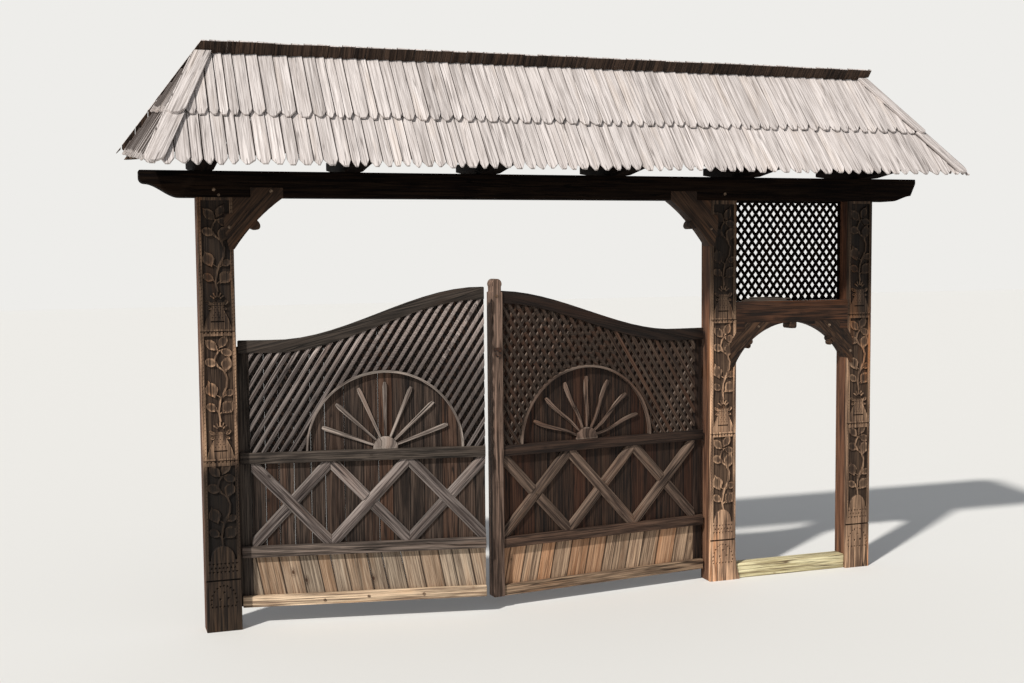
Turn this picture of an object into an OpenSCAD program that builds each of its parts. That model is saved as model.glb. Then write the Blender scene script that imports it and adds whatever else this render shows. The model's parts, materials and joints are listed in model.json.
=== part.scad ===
// Carved wooden yard gate: a wagon gate with two leaves and a wicket beside it, under one shingled roof.
// Three posts carry a long lintel, which carries the cross bearers, rafters, laths and two courses a slope.
// The origin is the middle of the middle post's foot. X runs along the gate, +Y is the yard side, Z is up.
// A leaf is upright boards in a frame, with rails, a lattice, a sunburst and crossed battens on its front.

/* [Openings] */
// Clear width of the wagon opening
wagon_clear = 3716; // [3000:1:4600]
// Clear width of the wicket opening
wicket_clear = 1035; // [850:1:1300]
// Height of the lintel's underside above the feet
lintel_under = 3060; // [2800:1:3700]

/* [Posts] */
// Width of the left post
left_post_w = 246; // [180:1:320]
// Width of the middle post
middle_post_w = 230; // [180:1:320]
// Width of the right post
right_post_w = 228; // [180:1:320]
// Thickness of the posts and the lintel
post_t = 165; // [140:1:220]
// Corner chamfer of the posts
post_chamfer = 5; // [2:1:12]
// Thickness of the tenon on top of each post
tenon_t = 50; // [30:1:70]
// Height of the tenon on top of each post
tenon_h = 110; // [60:1:140]
// Height of the groove near the foot of the outer posts
outer_groove_z = 367; // [250:1:450]
// Height of the groove near the foot of the middle post
middle_groove_z = 332; // [250:1:450]
// Height and depth of that groove
groove = 12; // [6:1:20]
// How far the middle post's foot flares towards the wicket
foot_flare = 40; // [0:1:60]
// Height of that flare
foot_flare_h = 190; // [100:1:230]

/* [Lintel] */
// Height of the lintel
lintel_h = 184; // [150:1:240]
// How far the lintel runs past the left post
lintel_left = 378; // [250:1:500]
// How far the lintel runs past the right post
lintel_right = 420; // [250:1:500]
// Height of the lintel at the tip of its left end
lintel_left_tip = 90; // [50:1:120]
// Height of the lintel at the tip of its right end
lintel_right_tip = 138; // [90:1:150]
// Plain length of its underside between the left post and the shaped left end
lintel_left_plain = 108; // [40:1:180]
// Plain length of its underside between the right post and the shaped right end
lintel_right_plain = 190; // [40:1:200]

/* [Braces] */
// Thickness of the braces and of the wicket arch
brace_t = 118; // [80:1:150]
// Reach of a wagon brace along the lintel
brace_reach = 350; // [250:1:450]
// Reach of a wagon brace down the post
brace_drop = 360; // [260:1:450]
// How far a brace laps onto the face of the post
brace_lap = 64; // [30:1:90]
// How far a brace laps onto the face of the lintel
brace_lap_up = 70; // [40:1:110]
// Depth of the lapped part of a brace
lap_depth = 40; // [20:1:60]

/* [Wicket] */
// Height of the underside of the wicket transom above the feet, at its ends
transom_under = 2035; // [1850:1:2300]
// Height of the transom
transom_h = 217; // [150:1:280]
// Length and depth of the haunch under each end of the transom
haunch = [75, 20]; // [10:1:120]
// How far the transom's underside is hollowed at the crown of the arch
arch_hollow = 45; // [20:1:90]
// Rise of the arch from where it leaves the posts to its crown
arch_rise = 310; // [200:1:400]
// Width and height of a diamond of the wicket lattice
diamond = [66.5, 90]; // [40:0.5:120]
// Width of a lattice slat
slat_w = 30; // [15:1:40]
// Thickness of a lattice slat
slat_t = 12; // [8:1:18]
// Height of the threshold beam
threshold_h = 118; // [80:1:160]
// Depth of the threshold beam
threshold_t = 120; // [80:1:160]

/* [Roof] */
// Height of the ridge line above the lintel's underside
ridge_up = 1020; // [980:1:1300]
// How far the ridge stops inside the outer face of the left post
left_ridge_inset = 15; // [0:1:200]
// How far the ridge stops inside the outer face of the right post
right_ridge_inset = 38; // [0:1:200]
// Slope of the roof in degrees
roof_pitch = 48.5; // [42:0.5:55]
// Length of the front slope from the ridge to the shingle tips
front_slope = 1085; // [950:1:1250]
// Length of the back slope from the ridge to the shingle tips
back_slope = 890; // [860:1:1150]
// Length of the upper course on the front slope
front_upper = 640; // [500:1:750]
// Length of the upper course on the back slope
back_upper = 530; // [450:1:700]
// How far two courses lap
course_lap = 120; // [60:1:200]
// How far the back shingles stand past the ridge
ridge_proud = 88; // [40:1:150]
// How far they run past the right end of the ridge
ridge_over = 22; // [0:1:60]
// How far the left hip runs out at the front eave
left_hip_run = 395; // [250:1:550]
// How far the right hip runs out at the front eave
right_hip_run = 500; // [250:1:550]
// How far a hip runs out at the back eave
hip_run_back = 515; // [250:1:650]
// Thickness of a course of shingles
shingle_t = 22; // [15:1:30]
// Width of a shingle
shingle_w = 85; // [60:1:120]
// Length of the pointed end of a shingle
shingle_tip = 40; // [20:1:60]
// Thickness of the laths
lath_t = 25; // [20:1:40]
// Width of the laths
lath_w = 60; // [40:1:80]
// Depth of the rafters
rafter_h = 70; // [50:1:90]
// Width of the rafters
rafter_w = 70; // [50:1:90]
// Width of the cross bearers
bearer_w = 130; // [90:1:160]
// Height of the cross bearers over the lintel
bearer_h = 110; // [90:1:150]
// How far the cross bearers stop inside the shingles
bearer_gap = 20; // [5:1:60]
// Width of the boards that cover the left front hip
left_hip_board_w = 125; // [80:1:180]
// Width of the boards that cover the right front hip
right_hip_board_w = 90; // [70:1:150]
// Length of the rounded lower end of a hip board
hip_board_round = 70; // [30:1:120]

/* [Leaves] */
// How far the leaves meet to the left of the opening's middle
meeting_left = 54; // [0:1:200]
// Gap between the closed leaves
leaf_gap = 12; // [8:1:20]
// How far the left leaf stands ajar to the front, in degrees
left_ajar = 10.4; // [0:0.1:11]
// How far the right leaf stands ajar to the front, in degrees
right_ajar = 6.8; // [0:0.1:11]
// Height of the left leaf's bottom edge above the feet
left_bottom = 134; // [100:1:250]
// Height of the right leaf's bottom edge above the feet
right_bottom = 93; // [80:1:250]
// Height of the left leaf at its hinge, without the rise of its top rail
left_leaf_h = 1922; // [1620:1:2300]
// Height of the right leaf at its hinge, without the rise of its top rail
right_leaf_h = 1956; // [1640:1:2300]
// Rise of the left leaf's top rail towards the middle
left_rise = 360; // [200:1:450]
// Rise of the right leaf's top rail towards the middle
right_rise = 333; // [200:1:450]
// Height of the top rail
top_rail_h = 92; // [70:1:120]
// Height of the middle, lower and bottom rails
rail_h = 80; // [60:1:100]
// Height from the leaf's bottom edge to the underside of the lower rail
lower_rail_up = 361; // [300:1:450]
// Height from the left leaf's bottom edge to the underside of its middle rail
left_mid_up = 1038; // [900:1:1080]
// Height from the right leaf's bottom edge to the underside of its middle rail
right_mid_up = 1054; // [900:1:1090]
// Thickness of the rails
rail_t = 40; // [30:1:50]
// Thickness of the stiles
stile_t = 45; // [35:1:55]
// Width of the hinge stiles
hinge_stile_w = 86; // [60:1:110]
// Width of the meeting stile behind the left leaf
back_stile_w = 60; // [40:1:90]
// Width of the meeting stile on the right leaf
meeting_stile_w = 85; // [60:1:110]
// How far the meeting stile stands above the top rail
stile_horn = 88; // [40:1:140]
// Thickness of the boards
board_t = 25; // [18:1:30]
// Width of the upright panel boards
panel_board_w = 108; // [80:1:160]
// Width of the leaning skirt boards
skirt_board_w = 150; // [100:1:200]
// Lean of the skirt boards in degrees
skirt_lean = 11; // [0:1:20]
// Gap between two boards
board_gap = 3; // [2:1:6]
// Width of the crossed battens
batten_w = 82; // [50:1:100]
// Thickness of the crossed battens
batten_t = 26; // [18:1:40]
// Number of crossed pairs on a leaf
cross_count = 3; // [2:1:5]
// Gap between two battens where one passes through the other
cross_play = 0.5; // [0.3:0.1:2]

/* [Leaf lattice] */
// Pitch of the slats along the leaf
leaf_pitch = 64; // [50:1:100]
// Width of a slat on the leaves
leaf_slat_w = 30; // [18:1:35]
// Thickness of a slat on the leaves
leaf_slat_t = 15; // [10:1:18]
// Angle of the slats above the horizontal
leaf_slat_angle = 58; // [45:1:65]

/* [Sunburst] */
// Radius of the half-round sunburst panel
sun_r = 562; // [400:1:600]
// Distance of the sunburst's centre from the meeting end of the rails
sun_in = 727; // [690:1:800]
// Distance from the tips of the rays to the edge of the panel
ray_gap = 78; // [30:1:150]
// Number of rays
ray_count = 7; // [5:2:11]
// Width of a ray at its tip
ray_w = 34; // [20:1:50]
// Thickness of a ray
ray_t = 20; // [12:1:30]
// Gap between the rays and their hub
ray_play = 1; // [0.5:0.5:5]
// Radius of the hub under the rays
hub_r = 90; // [60:1:110]
// Width of the hoop around the panel
hoop_w = 16; // [10:1:30]

/* [Hinges] */
// Distance of a hinge axis from the side face of its post
axis_off_x = 10; // [8:1:20]
// Distance of a hinge axis behind the back faces of post and leaf
axis_off_y = 20; // [18:1:30]
// Radius of a hinge pin
pin_r = 8; // [6:1:10]
// Radial play between a pin and its eye
pin_play = 0.5; // [0.3:0.1:1]
// Outer radius of an eye
eye_r = 14; // [12:1:16]
// Height of an eye
eye_h = 60; // [40:1:80]
// Height of the lower hinge above the leaf's bottom edge
hinge_low = 330; // [200:1:500]
// Distance of the upper hinge below the leaf's height at its hinge
hinge_down = 362; // [200:1:500]
// Height of the latch above the bottom edge of the right leaf
latch_up = 1842; // [1500:1:2000]

/* [Hidden] */
$fn = 48;

// Places of the posts' faces along X
middle_left = -middle_post_w / 2;
middle_right = middle_post_w / 2;
left_right = middle_left - wagon_clear;
left_left = left_right - left_post_w;
right_left = middle_right + wicket_clear;
right_right = right_left + right_post_w;
front_y = -post_t / 2;
back_y = post_t / 2;
lintel_top = lintel_under + lintel_h;
lintel_x0 = left_left - lintel_left;
lintel_x1 = right_right + lintel_right;
lintel_round = 40;
lintel_lean = 45;
lintel_end_face = 38;

// Steps of a wagon brace, as shares of its reach and drop, and the oval knob on its hollow edge
brace_lap_from = 0.35;
brace_lap_top = 0.31;
brace_lap_low = 0.55;
brace_hollow = [0.42, 0.40];
brace_toe = 4;
knob_share = 0.47;
knob_size = [50, 34];
knob_out = 14;
knob_turn = 40;

// Wicket arch
transom_top = transom_under + transom_h;
arch_crown = transom_under + arch_hollow;
arch_spring = arch_crown - arch_rise;
arch_half = wicket_clear / 2;
arch_r = (arch_half * arch_half + arch_rise * arch_rise) / (2 * arch_rise);
wicket_mid = (middle_right + right_left) / 2;
wicket_reach = wicket_clear * 0.3;
wicket_lap = 50;
wicket_shoulder = 110;
wicket_drop = transom_under - arch_spring + 40;
wicket_toe = 20;
wicket_knob = [26, 22];
wicket_knob_angle = 42;
pendant_w = 60;
pendant_drop = 52;
pendant_bevel = [10, 12];
pendant_off = 5;
lattice_back = back_y - 20;
lattice_frame = 14;

// Roof planes: each has a point, an outward normal and an up-slope direction
ridge_x0 = left_left + left_ridge_inset;
ridge_x1 = right_right - right_ridge_inset;
ridge_z = lintel_under + ridge_up;
ridge_a = [ridge_x0, 0, ridge_z];
ridge_b = [ridge_x1, 0, ridge_z];
run = cos(roof_pitch);
rise = sin(roof_pitch);
front_n = [0, -rise, run];
back_n = [0, rise, run];
front_up = [0, run, rise];
back_up = [0, -run, rise];
front_drop = [0, -front_slope * run, -front_slope * rise];
back_drop = [0, back_slope * run, -back_slope * rise];
// The front and the back line of each hip, from the end of the ridge down to the eave
left_front_hip = front_drop + [-left_hip_run, 0, 0];
left_back_hip = back_drop + [-hip_run_back, 0, 0];
right_front_hip = front_drop + [right_hip_run, 0, 0];
right_back_hip = back_drop + [hip_run_back, 0, 0];
left_hip_n = unit(cross(left_back_hip, left_front_hip));
right_hip_n = unit(cross(right_front_hip, right_back_hip));
left_hip_up = unit(cross(left_back_hip - left_front_hip, left_hip_n));
right_hip_up = unit(cross(right_front_hip - right_back_hip, right_hip_n));
left_hip_slope = -left_front_hip * left_hip_up;
right_hip_slope = -right_front_hip * right_hip_up;
upper_share = front_upper / front_slope;
skin = 2 * shingle_t;
// Depths under a roof plane: laths lie under the skin and rafters under the laths, with a hair of play
seat = 0.02;
lath_top = skin + seat;
lath_under = lath_top + lath_t;
rafter_top = lath_under + seat;
rafter_under = rafter_top + rafter_h;
bearer_top = lintel_top + bearer_h;
bearer_tip = bearer_h * 0.55;
bearer_reach = (ridge_z - lath_top / run - bearer_top) * run / rise - bearer_gap;
bearer_span = ridge_x1 - ridge_x0 - rafter_w;
// Spacing of the cross bearers, as shares of the way along the ridge
bearer_shares = [0, 0.195, 0.388, 0.585, 0.795, 1];
bearer_x = [for (share = bearer_shares) ridge_x0 + rafter_w / 2 + share * bearer_span];
// Where the laths lie, down the slope from the ridge: the lowest is over the rafters' feet
first_lath = 110;
foot_out = (ridge_z - rafter_top / run - bearer_top) * run / rise;
foot_lath = foot_out / run - lath_w / 2 - 5;
roof_mid = (ridge_a + ridge_b) / 2;
course_len = ridge_x1 - ridge_x0 + 2 * hip_run_back + 2 * shingle_w;
hip_len = norm(left_back_hip - left_front_hip) + 4 * shingle_w;
tip_flat = [0.33, 0.67];

// Leaf places
left_axis = [left_right + axis_off_x, back_y + axis_off_y, 0];
right_axis = [middle_left - axis_off_x, back_y + axis_off_y, 0];
leaf_back = -axis_off_y;
board_back = leaf_back - (stile_t - board_t);
stile_front = leaf_back - stile_t;
rail_front = stile_front - rail_t;
stile_start = 14;
rail_start = 26;
stile_end = stile_start + hinge_stile_w;
curve_start = 300;
curve_end_gap = 40;
part_gap = 1;
stile_proud = 15;
back_stile_t = 35;
ray_len = sun_r - ray_gap;
ray_fan = 140;
hoop_t = 2 * leaf_slat_t + 4;
hub_t = ray_t + 6;
left_len = wagon_clear / 2 - axis_off_x - meeting_left - leaf_gap / 2;
right_len = wagon_clear / 2 - axis_off_x + meeting_left - leaf_gap / 2;
right_end = right_len - meeting_stile_w;
// Each leaf: its length, the end of its rails, its height at the hinge, the rise of its top rail, the
// height of its middle rail and the place of its sunburst
left_leaf = [left_len, left_len, left_leaf_h, left_rise, left_mid_up, left_len - sun_in];
right_leaf = [right_len, right_end, right_leaf_h, right_rise, right_mid_up, right_end - sun_in];
big = 14000;

function length_of(leaf) = leaf[0];
function end_of(leaf) = leaf[1];
function height_of(leaf) = leaf[2];
function rise_of(leaf) = leaf[3];
function mid_of(leaf) = leaf[4];
function sun_of(leaf) = leaf[5];
function hinges_of(leaf) = [hinge_low, height_of(leaf) - hinge_down];

function unit(v) = v / norm(v);
function ease(t) = let (c = max(0, min(1, t))) c * c * (3 - 2 * c);

// Moves what is drawn so that its x, y and z run along three given directions
module placed(o, u, v, n) {
    multmatrix([[u[0], v[0], n[0], o[0]],
                [u[1], v[1], n[1], o[1]],
                [u[2], v[2], n[2], o[2]],
                [0, 0, 0, 1]])
        children();
}

// Everything behind a plane that lies a given depth under a roof plane
module behind(o, n, depth) {
    u = unit(cross(n, [0, 0, 1]));
    placed(o - n * depth, u, cross(n, u), n)
        translate([-big / 2, -big / 2, -big]) cube(big);
}

module box_between(low, high) {
    translate(low) cube(high - low);
}

// Posts

module post(x0, width, groove_z) {
    c = post_chamfer;
    outline = [[c, 0], [width - c, 0], [width, c], [width, post_t - c], [width - c, post_t],
        [c, post_t], [0, post_t - c], [0, c]];
    difference() {
        union() {
            translate([x0, front_y, 0]) linear_extrude(lintel_under) polygon(outline);
            box_between([x0 + width / 4, -tenon_t / 2, lintel_under],
                [x0 + width * 3 / 4, tenon_t / 2, lintel_under + tenon_h]);
        }
        box_between([x0 - 1, front_y - 1, groove_z - groove / 2],
            [x0 + width + 1, front_y + groove, groove_z + groove / 2]);
    }
}

module left_post() {
    color("#4a3b31") difference() {
        post(left_left, left_post_w, outer_groove_z);
        left_brace_shape();
    }
}

module middle_post() {
    color("#5a4436") difference() {
        union() {
            post(-middle_post_w / 2, middle_post_w, middle_groove_z);
            foot_wedge();
        }
        middle_brace_shape();
        wicket_left_brace_shape();
    }
}

module foot_wedge() {
    inside = post_chamfer + 1;
    translate([middle_right, back_y - post_chamfer, 0]) rotate([90, 0, 0])
        linear_extrude(post_t - 2 * post_chamfer)
            polygon([[-inside, 0], [foot_flare, 0], [foot_flare * 0.35, foot_flare_h * 0.5],
                [0, foot_flare_h], [-inside, foot_flare_h]]);
}

module right_post() {
    color("#54402f") difference() {
        post(right_left, right_post_w, outer_groove_z);
        wicket_right_brace_shape();
    }
}

// Lintel

module lintel() {
    steps = 12;
    left_tip = [lintel_x0 + lintel_round, lintel_top - lintel_left_tip];
    left_reach = lintel_left - lintel_left_plain - lintel_round;
    right_tip = [lintel_x1 - lintel_lean, lintel_top - lintel_right_tip];
    right_reach = lintel_right - lintel_right_plain - lintel_lean;
    rounded = [for (a = [0 : 15 : 90])
        left_tip + lintel_round * [-cos(a), 1 - sin(a)]];
    left_under = [for (i = [1 : steps])
        left_tip + [left_reach * i / steps, (lintel_left_tip - lintel_h) * ease(i / steps)]];
    right_under = [for (i = [steps : -1 : 0])
        right_tip + [-right_reach * i / steps, (lintel_right_tip - lintel_h) * ease(i / steps)]];
    outline = concat([[lintel_x0, lintel_top]], rounded, left_under, right_under,
        [[lintel_x1, lintel_top - lintel_end_face], [lintel_x1, lintel_top]]);
    color("#2c211b") difference() {
        translate([0, back_y, 0]) rotate([90, 0, 0]) linear_extrude(post_t) polygon(outline);
        for (post = [[left_left, left_post_w], [middle_left, middle_post_w], [right_left, right_post_w]])
            box_between([post[0] + post[1] / 4, -tenon_t / 2, lintel_under - 1],
                [post[0] + post[1] * 3 / 4, tenon_t / 2, lintel_under + tenon_h]);
        left_brace_shape();
        middle_brace_shape();
    }
}

// Braces. A brace is drawn in its own corner: x away from the post and y down from the lintel.

module brace_outline() {
    lap_from = brace_reach * brace_lap_from;
    lap_top = brace_drop * brace_lap_top;
    polygon([[brace_reach, -brace_lap_up], [lap_from, -brace_lap_up], [lap_from, 0], [0, 0],
        [0, lap_top], [-brace_lap, lap_top], [-brace_lap, brace_drop * brace_lap_low],
        [-brace_lap / 2, brace_drop], [brace_toe, brace_drop],
        for (i = [1 : 7]) inner_edge(i / 8), [brace_reach, 0]]);
}

// The hollow inner edge of a brace, from the post at 0 to the lintel at 1
function inner_edge(t) =
    let (mid = [brace_reach * brace_hollow[0], brace_drop * brace_hollow[1]])
    [brace_toe, brace_drop] * (1 - t) * (1 - t) + mid * 2 * t * (1 - t) + [brace_reach, 0] * t * t;

module brace_solid() {
    difference() {
        union() {
            linear_extrude(brace_t) brace_outline();
            translate(inner_edge(knob_share)) rotate(knob_turn) translate([0, knob_out])
                linear_extrude(brace_t) oval(knob_size);
        }
        // Only the lapped skin runs over the post and the lintel
        translate([-brace_lap - 1, -1, lap_depth]) cube([brace_lap + 1, brace_drop + 2, brace_t]);
        translate([-1, -brace_lap_up - 1, lap_depth]) cube([brace_reach + 2, brace_lap_up + 1, brace_t]);
    }
}

module oval(size) {
    polygon([for (a = [0 : 15 : 345]) [size[0] * cos(a), size[1] * sin(a)]]);
}

module left_brace_shape() {
    translate([left_right, front_y, lintel_under]) rotate([-90, 0, 0]) brace_solid();
}

module middle_brace_shape() {
    mirror([1, 0, 0]) translate([middle_right, front_y, lintel_under])
        rotate([-90, 0, 0]) brace_solid();
}

module left_brace() {
    color("#40322a") left_brace_shape();
}

module middle_brace() {
    color("#4b382c") middle_brace_shape();
}

// Wicket: the transom's hollow underside and two short braces make the arch

module arch_void() {
    translate([wicket_mid, front_y - 1, arch_crown - arch_r]) rotate([-90, 0, 0])
        cylinder(h = brace_t + 2, r = arch_r, $fn = 120);
}

// Outline of a wicket brace: x away from the post and y down from the transom's underside
module wicket_brace_blank() {
    linear_extrude(brace_t)
        polygon([[wicket_reach, -wicket_lap], [haunch[0], -wicket_lap], haunch, [0, haunch[1]],
            [-wicket_lap, wicket_shoulder], [-wicket_lap, wicket_drop], [wicket_toe, wicket_drop],
            [wicket_reach, 0]]);
}

module wicket_left_brace_shape() {
    knob_x = wicket_mid - arch_r * sin(wicket_knob_angle);
    knob_z = arch_crown - arch_r + arch_r * cos(wicket_knob_angle);
    difference() {
        union() {
            difference() {
                translate([middle_right, front_y, transom_under]) rotate([-90, 0, 0])
                    wicket_brace_blank();
                arch_void();
            }
            translate([knob_x, front_y, knob_z]) rotate([-90, 0, 0]) rotate(-wicket_knob_angle)
                linear_extrude(brace_t) oval(wicket_knob);
        }
        box_between([middle_right - wicket_lap - 1, front_y + lap_depth, transom_under - 2 * wicket_drop],
            [middle_right, front_y + brace_t + 1, transom_top]);
    }
}

module wicket_right_brace_shape() {
    translate([wicket_mid * 2, 0, 0]) mirror([1, 0, 0]) wicket_left_brace_shape();
}

module wicket_left_brace() {
    color("#6a4a35") wicket_left_brace_shape();
}

module wicket_right_brace() {
    color("#6f4e38") wicket_right_brace_shape();
}

module wicket_transom() {
    color("#4d3a2d") difference() {
        union() {
            box_between([middle_right, front_y, transom_under],
                [right_left, front_y + brace_t, transom_top]);
            for (x = [middle_right, right_left - haunch[0]])
                translate([x, front_y, transom_under - haunch[1]])
                    cube([haunch[0], brace_t, 2 * haunch[1]]);
        }
        arch_void();
        wicket_left_brace_shape();
        wicket_right_brace_shape();
    }
}

module wicket_pendant() {
    half = pendant_w / 2;
    tip = half - pendant_bevel[0];
    side = pendant_drop - pendant_bevel[1];
    color("#3c2d24") intersection() {
        translate([wicket_mid + pendant_off, front_y, arch_crown]) rotate([-90, 0, 0])
            linear_extrude(brace_t)
                polygon([[-half, -half], [half, -half], [half, side], [tip, pendant_drop],
                    [-tip, pendant_drop], [-half, side]]);
        arch_void();
    }
}

// A lattice of two crossed layers of slats inside an outline
module slats(length, height, pitch, angle, width) {
    reach = height / tan(angle);
    count = ceil((length + reach) / pitch);
    for (i = [0 : count])
        translate([i * pitch - reach, 0]) rotate(angle)
            translate([-width, -width / 2]) square([height / sin(angle) + 2 * width, width]);
}

module lattice_layers(length, height, pitch, angle, width, thick) {
    translate([0, 0, thick]) linear_extrude(thick) slats(length, height, pitch, angle, width);
    translate([length, 0]) mirror([1, 0]) linear_extrude(thick)
        slats(length, height, pitch, angle, width);
}

module wicket_lattice() {
    angle = atan(diamond[1] / diamond[0]);
    height = lintel_under - transom_top;
    color("#2f241d") translate([middle_right, lattice_back, transom_top]) rotate([90, 0, 0])
        union() {
            intersection() {
                cube([wicket_clear, height, 2 * slat_t]);
                lattice_layers(wicket_clear, height, diamond[0], angle, slat_w, slat_t);
            }
            difference() {
                cube([wicket_clear, height, 2 * slat_t]);
                translate([lattice_frame, lattice_frame, -1])
                    cube([wicket_clear - 2 * lattice_frame, height - 2 * lattice_frame, 2 * slat_t + 2]);
            }
        }
}

module threshold() {
    color("#a08c70") difference() {
        box_between([middle_right, -threshold_t / 2, 0], [right_left, threshold_t / 2, threshold_h]);
        foot_wedge();
    }
}

// Roof frame

module cross_bearers() {
    outline = [[-bearer_reach, bearer_top], [-bearer_reach, bearer_top - bearer_tip],
        [-post_t, lintel_top], [post_t, lintel_top],
        [bearer_reach, bearer_top - bearer_tip], [bearer_reach, bearer_top]];
    color("#261c17") for (x = bearer_x)
        translate([x - bearer_w / 2, 0, 0]) rotate([90, 0, 90]) linear_extrude(bearer_w)
            polygon(outline);
}

// A rafter has a level foot on its bearer and meets its partner at a plumb cut under the ridge
module rafter_row(way) {
    foot_in = (ridge_z - rafter_under / run - bearer_top) * run / rise;
    outline = [[0, ridge_z - rafter_top / run], [way * foot_out, bearer_top],
        [way * foot_in, bearer_top], [0, ridge_z - rafter_under / run]];
    intersection() {
        for (x = bearer_x)
            translate([x - rafter_w / 2, 0, 0]) rotate([90, 0, 90]) linear_extrude(rafter_w)
                polygon(outline);
        behind(ridge_a, left_hip_n, rafter_top);
        behind(ridge_b, right_hip_n, rafter_top);
    }
}

module front_rafters() {
    color("#3a2d24") rafter_row(-1);
}

module back_rafters() {
    color("#3a2d24") rafter_row(1);
}

// A hip rafter lies under the laths of both slopes and runs out towards the corner. Its foot is cut level
// with the tops of the bearers, so it stays out of sight.
module hip_rafter(o, hip, slope_n, hip_n) {
    along = unit(hip);
    side = unit(cross(along, [0, 0, 1]));
    up = cross(side, along);
    depth = rafter_top / min(slope_n * up, hip_n * up) + rafter_h;
    x_way = sign(hip[0]);
    y_way = sign(hip[1]);
    intersection() {
        placed(o, side, along, up)
            translate([-rafter_w / 2, 0, -depth]) cube([rafter_w, norm(hip), depth]);
        behind(o, slope_n, rafter_top);
        behind(o, hip_n, rafter_top);
        translate([o[0], 0, bearer_top]) scale([x_way, y_way, 1]) cube([big, big, ridge_z]);
    }
}

module hip_rafters() {
    color("#3a2d24") {
        hip_rafter(ridge_a, left_front_hip, front_n, left_hip_n);
        hip_rafter(ridge_a, left_back_hip, back_n, left_hip_n);
        hip_rafter(ridge_b, right_front_hip, front_n, right_hip_n);
        hip_rafter(ridge_b, right_back_hip, back_n, right_hip_n);
    }
}

// Laths near the ridge, halfway, under the lap of the courses and over the rafters' feet
function lath_rows(upper) =
    let (lap_at = upper - course_lap / 2)
    [first_lath, (first_lath + lap_at) / 2, lap_at, foot_lath];

module slope_lath(up, n, at) {
    side = cross(up, n);
    placed([0, 0, ridge_z] - up * at - n * lath_under, side, up, n)
        translate([-big / 2, -lath_w / 2, 0]) cube([big, lath_w, lath_t]);
}

module front_laths() {
    color("#6b5a48") intersection() {
        for (at = lath_rows(front_upper)) slope_lath(front_up, front_n, at);
        behind(ridge_a, left_hip_n, lath_top);
        behind(ridge_b, right_hip_n, lath_top);
    }
}

module back_laths() {
    color("#6b5a48") intersection() {
        for (at = lath_rows(back_upper)) slope_lath(back_up, back_n, at);
        behind(ridge_a, left_hip_n, lath_top);
        behind(ridge_b, right_hip_n, lath_top);
    }
}

module hip_lath_rows(o, up, n, slope) {
    upper = slope * upper_share;
    for (at = [upper / 2, upper - course_lap / 2, slope - 2 * course_lap])
        placed(o - up * at - n * lath_under, cross(up, n), up, n)
            translate([-big / 2, -lath_w / 2, 0]) cube([big, lath_w, lath_t]);
}

module hip_laths() {
    color("#6b5a48") intersection() {
        union() {
            hip_lath_rows(ridge_a, left_hip_up, left_hip_n, left_hip_slope);
            hip_lath_rows(ridge_b, right_hip_up, right_hip_n, right_hip_slope);
        }
        behind(ridge_a, front_n, rafter_top);
        behind(ridge_a, back_n, rafter_top);
    }
}

// Roof skin. A course is a slab whose lower edge is cut to the pointed ends of the shingles.

module course(o, up, n, top, bottom, depth, length) {
    count = ceil(length / shingle_w);
    edge = [for (i = [0 : count - 1], k = [[0, shingle_tip], [tip_flat[0], 0], [tip_flat[1], 0]])
        [(i + k[0]) * shingle_w, k[1] - bottom]];
    outline = concat(edge, [[count * shingle_w, shingle_tip - bottom], [count * shingle_w, -top],
        [0, -top]]);
    placed(o - n * (depth + shingle_t), cross(up, n), up, n)
        translate([-count * shingle_w / 2, 0, 0]) linear_extrude(shingle_t) polygon(outline);
}

module between_hips_space() {
    intersection() {
        behind(ridge_a, left_hip_n, 0);
        behind(ridge_b, right_hip_n, 0);
    }
}

module between_hips() {
    intersection() {
        children();
        between_hips_space();
    }
}

module front_lower_course() {
    color("#b3a79f") between_hips()
        course(roof_mid, front_up, front_n, front_upper - course_lap, front_slope, shingle_t,
            course_len);
}

module front_upper_course() {
    color("#b9ada5") intersection() {
        between_hips()
            course(roof_mid, front_up, front_n, 0, front_upper, 0, course_len);
        behind(ridge_a, back_n, shingle_t);
    }
}

module back_lower_course() {
    color("#9c9086") between_hips()
        course(roof_mid, back_up, back_n, back_upper - course_lap, back_slope, shingle_t, course_len);
}

// The part above the ridge is square at its right end
module back_upper_course() {
    color("#8f8378") intersection() {
        course(roof_mid, back_up, back_n, -ridge_proud, back_upper, 0, course_len);
        union() {
            between_hips_space();
            box_between([roof_mid[0], -ridge_proud, ridge_z],
                [ridge_x1 + ridge_over, ridge_proud, ridge_z + ridge_proud]);
        }
    }
}

module hip_skin(o, up, n, slope) {
    upper = slope * upper_share;
    intersection() {
        union() {
            course(o, up, n, upper - course_lap, slope, shingle_t, 2 * hip_len);
            course(o, up, n, 0, upper, 0, 2 * hip_len);
        }
        behind(ridge_a, front_n, lath_top);
        behind(ridge_a, back_n, lath_top);
    }
}

module left_hip_shingles() {
    color("#a89c93") hip_skin(ridge_a, left_hip_up, left_hip_n, left_hip_slope);
}

module right_hip_shingles() {
    color("#a89c93") hip_skin(ridge_b, right_hip_up, right_hip_n, right_hip_slope);
}

// Two lapped boards with rounded lower ends lie on the front slope along each hip
module hip_board(drift, top, bottom, width) {
    way = sign(drift);
    across_down = concat([[0, top]],
        [for (a = [0 : 15 : 180])
            [width / 2 * (1 - cos(a)), bottom - hip_board_round * (1 - sin(a))]],
        [[width, top]]);
    linear_extrude(shingle_t)
        polygon([for (p = across_down) [p[1] * drift - way * p[0], -p[1]]]);
}

module hip_boards(o, drift, width) {
    start = 30;
    overlap = 20;
    intersection() {
        placed(o, [1, 0, 0], front_up, front_n) {
            hip_board(drift, start, front_upper + overlap, width);
            translate([0, 0, -shingle_t]) hip_board(drift, front_upper, front_slope, width);
        }
        between_hips_space();
    }
}

module left_hip_boards() {
    color("#b5aaa2") hip_boards(ridge_a, -left_hip_run / front_slope, left_hip_board_w);
}

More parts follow.
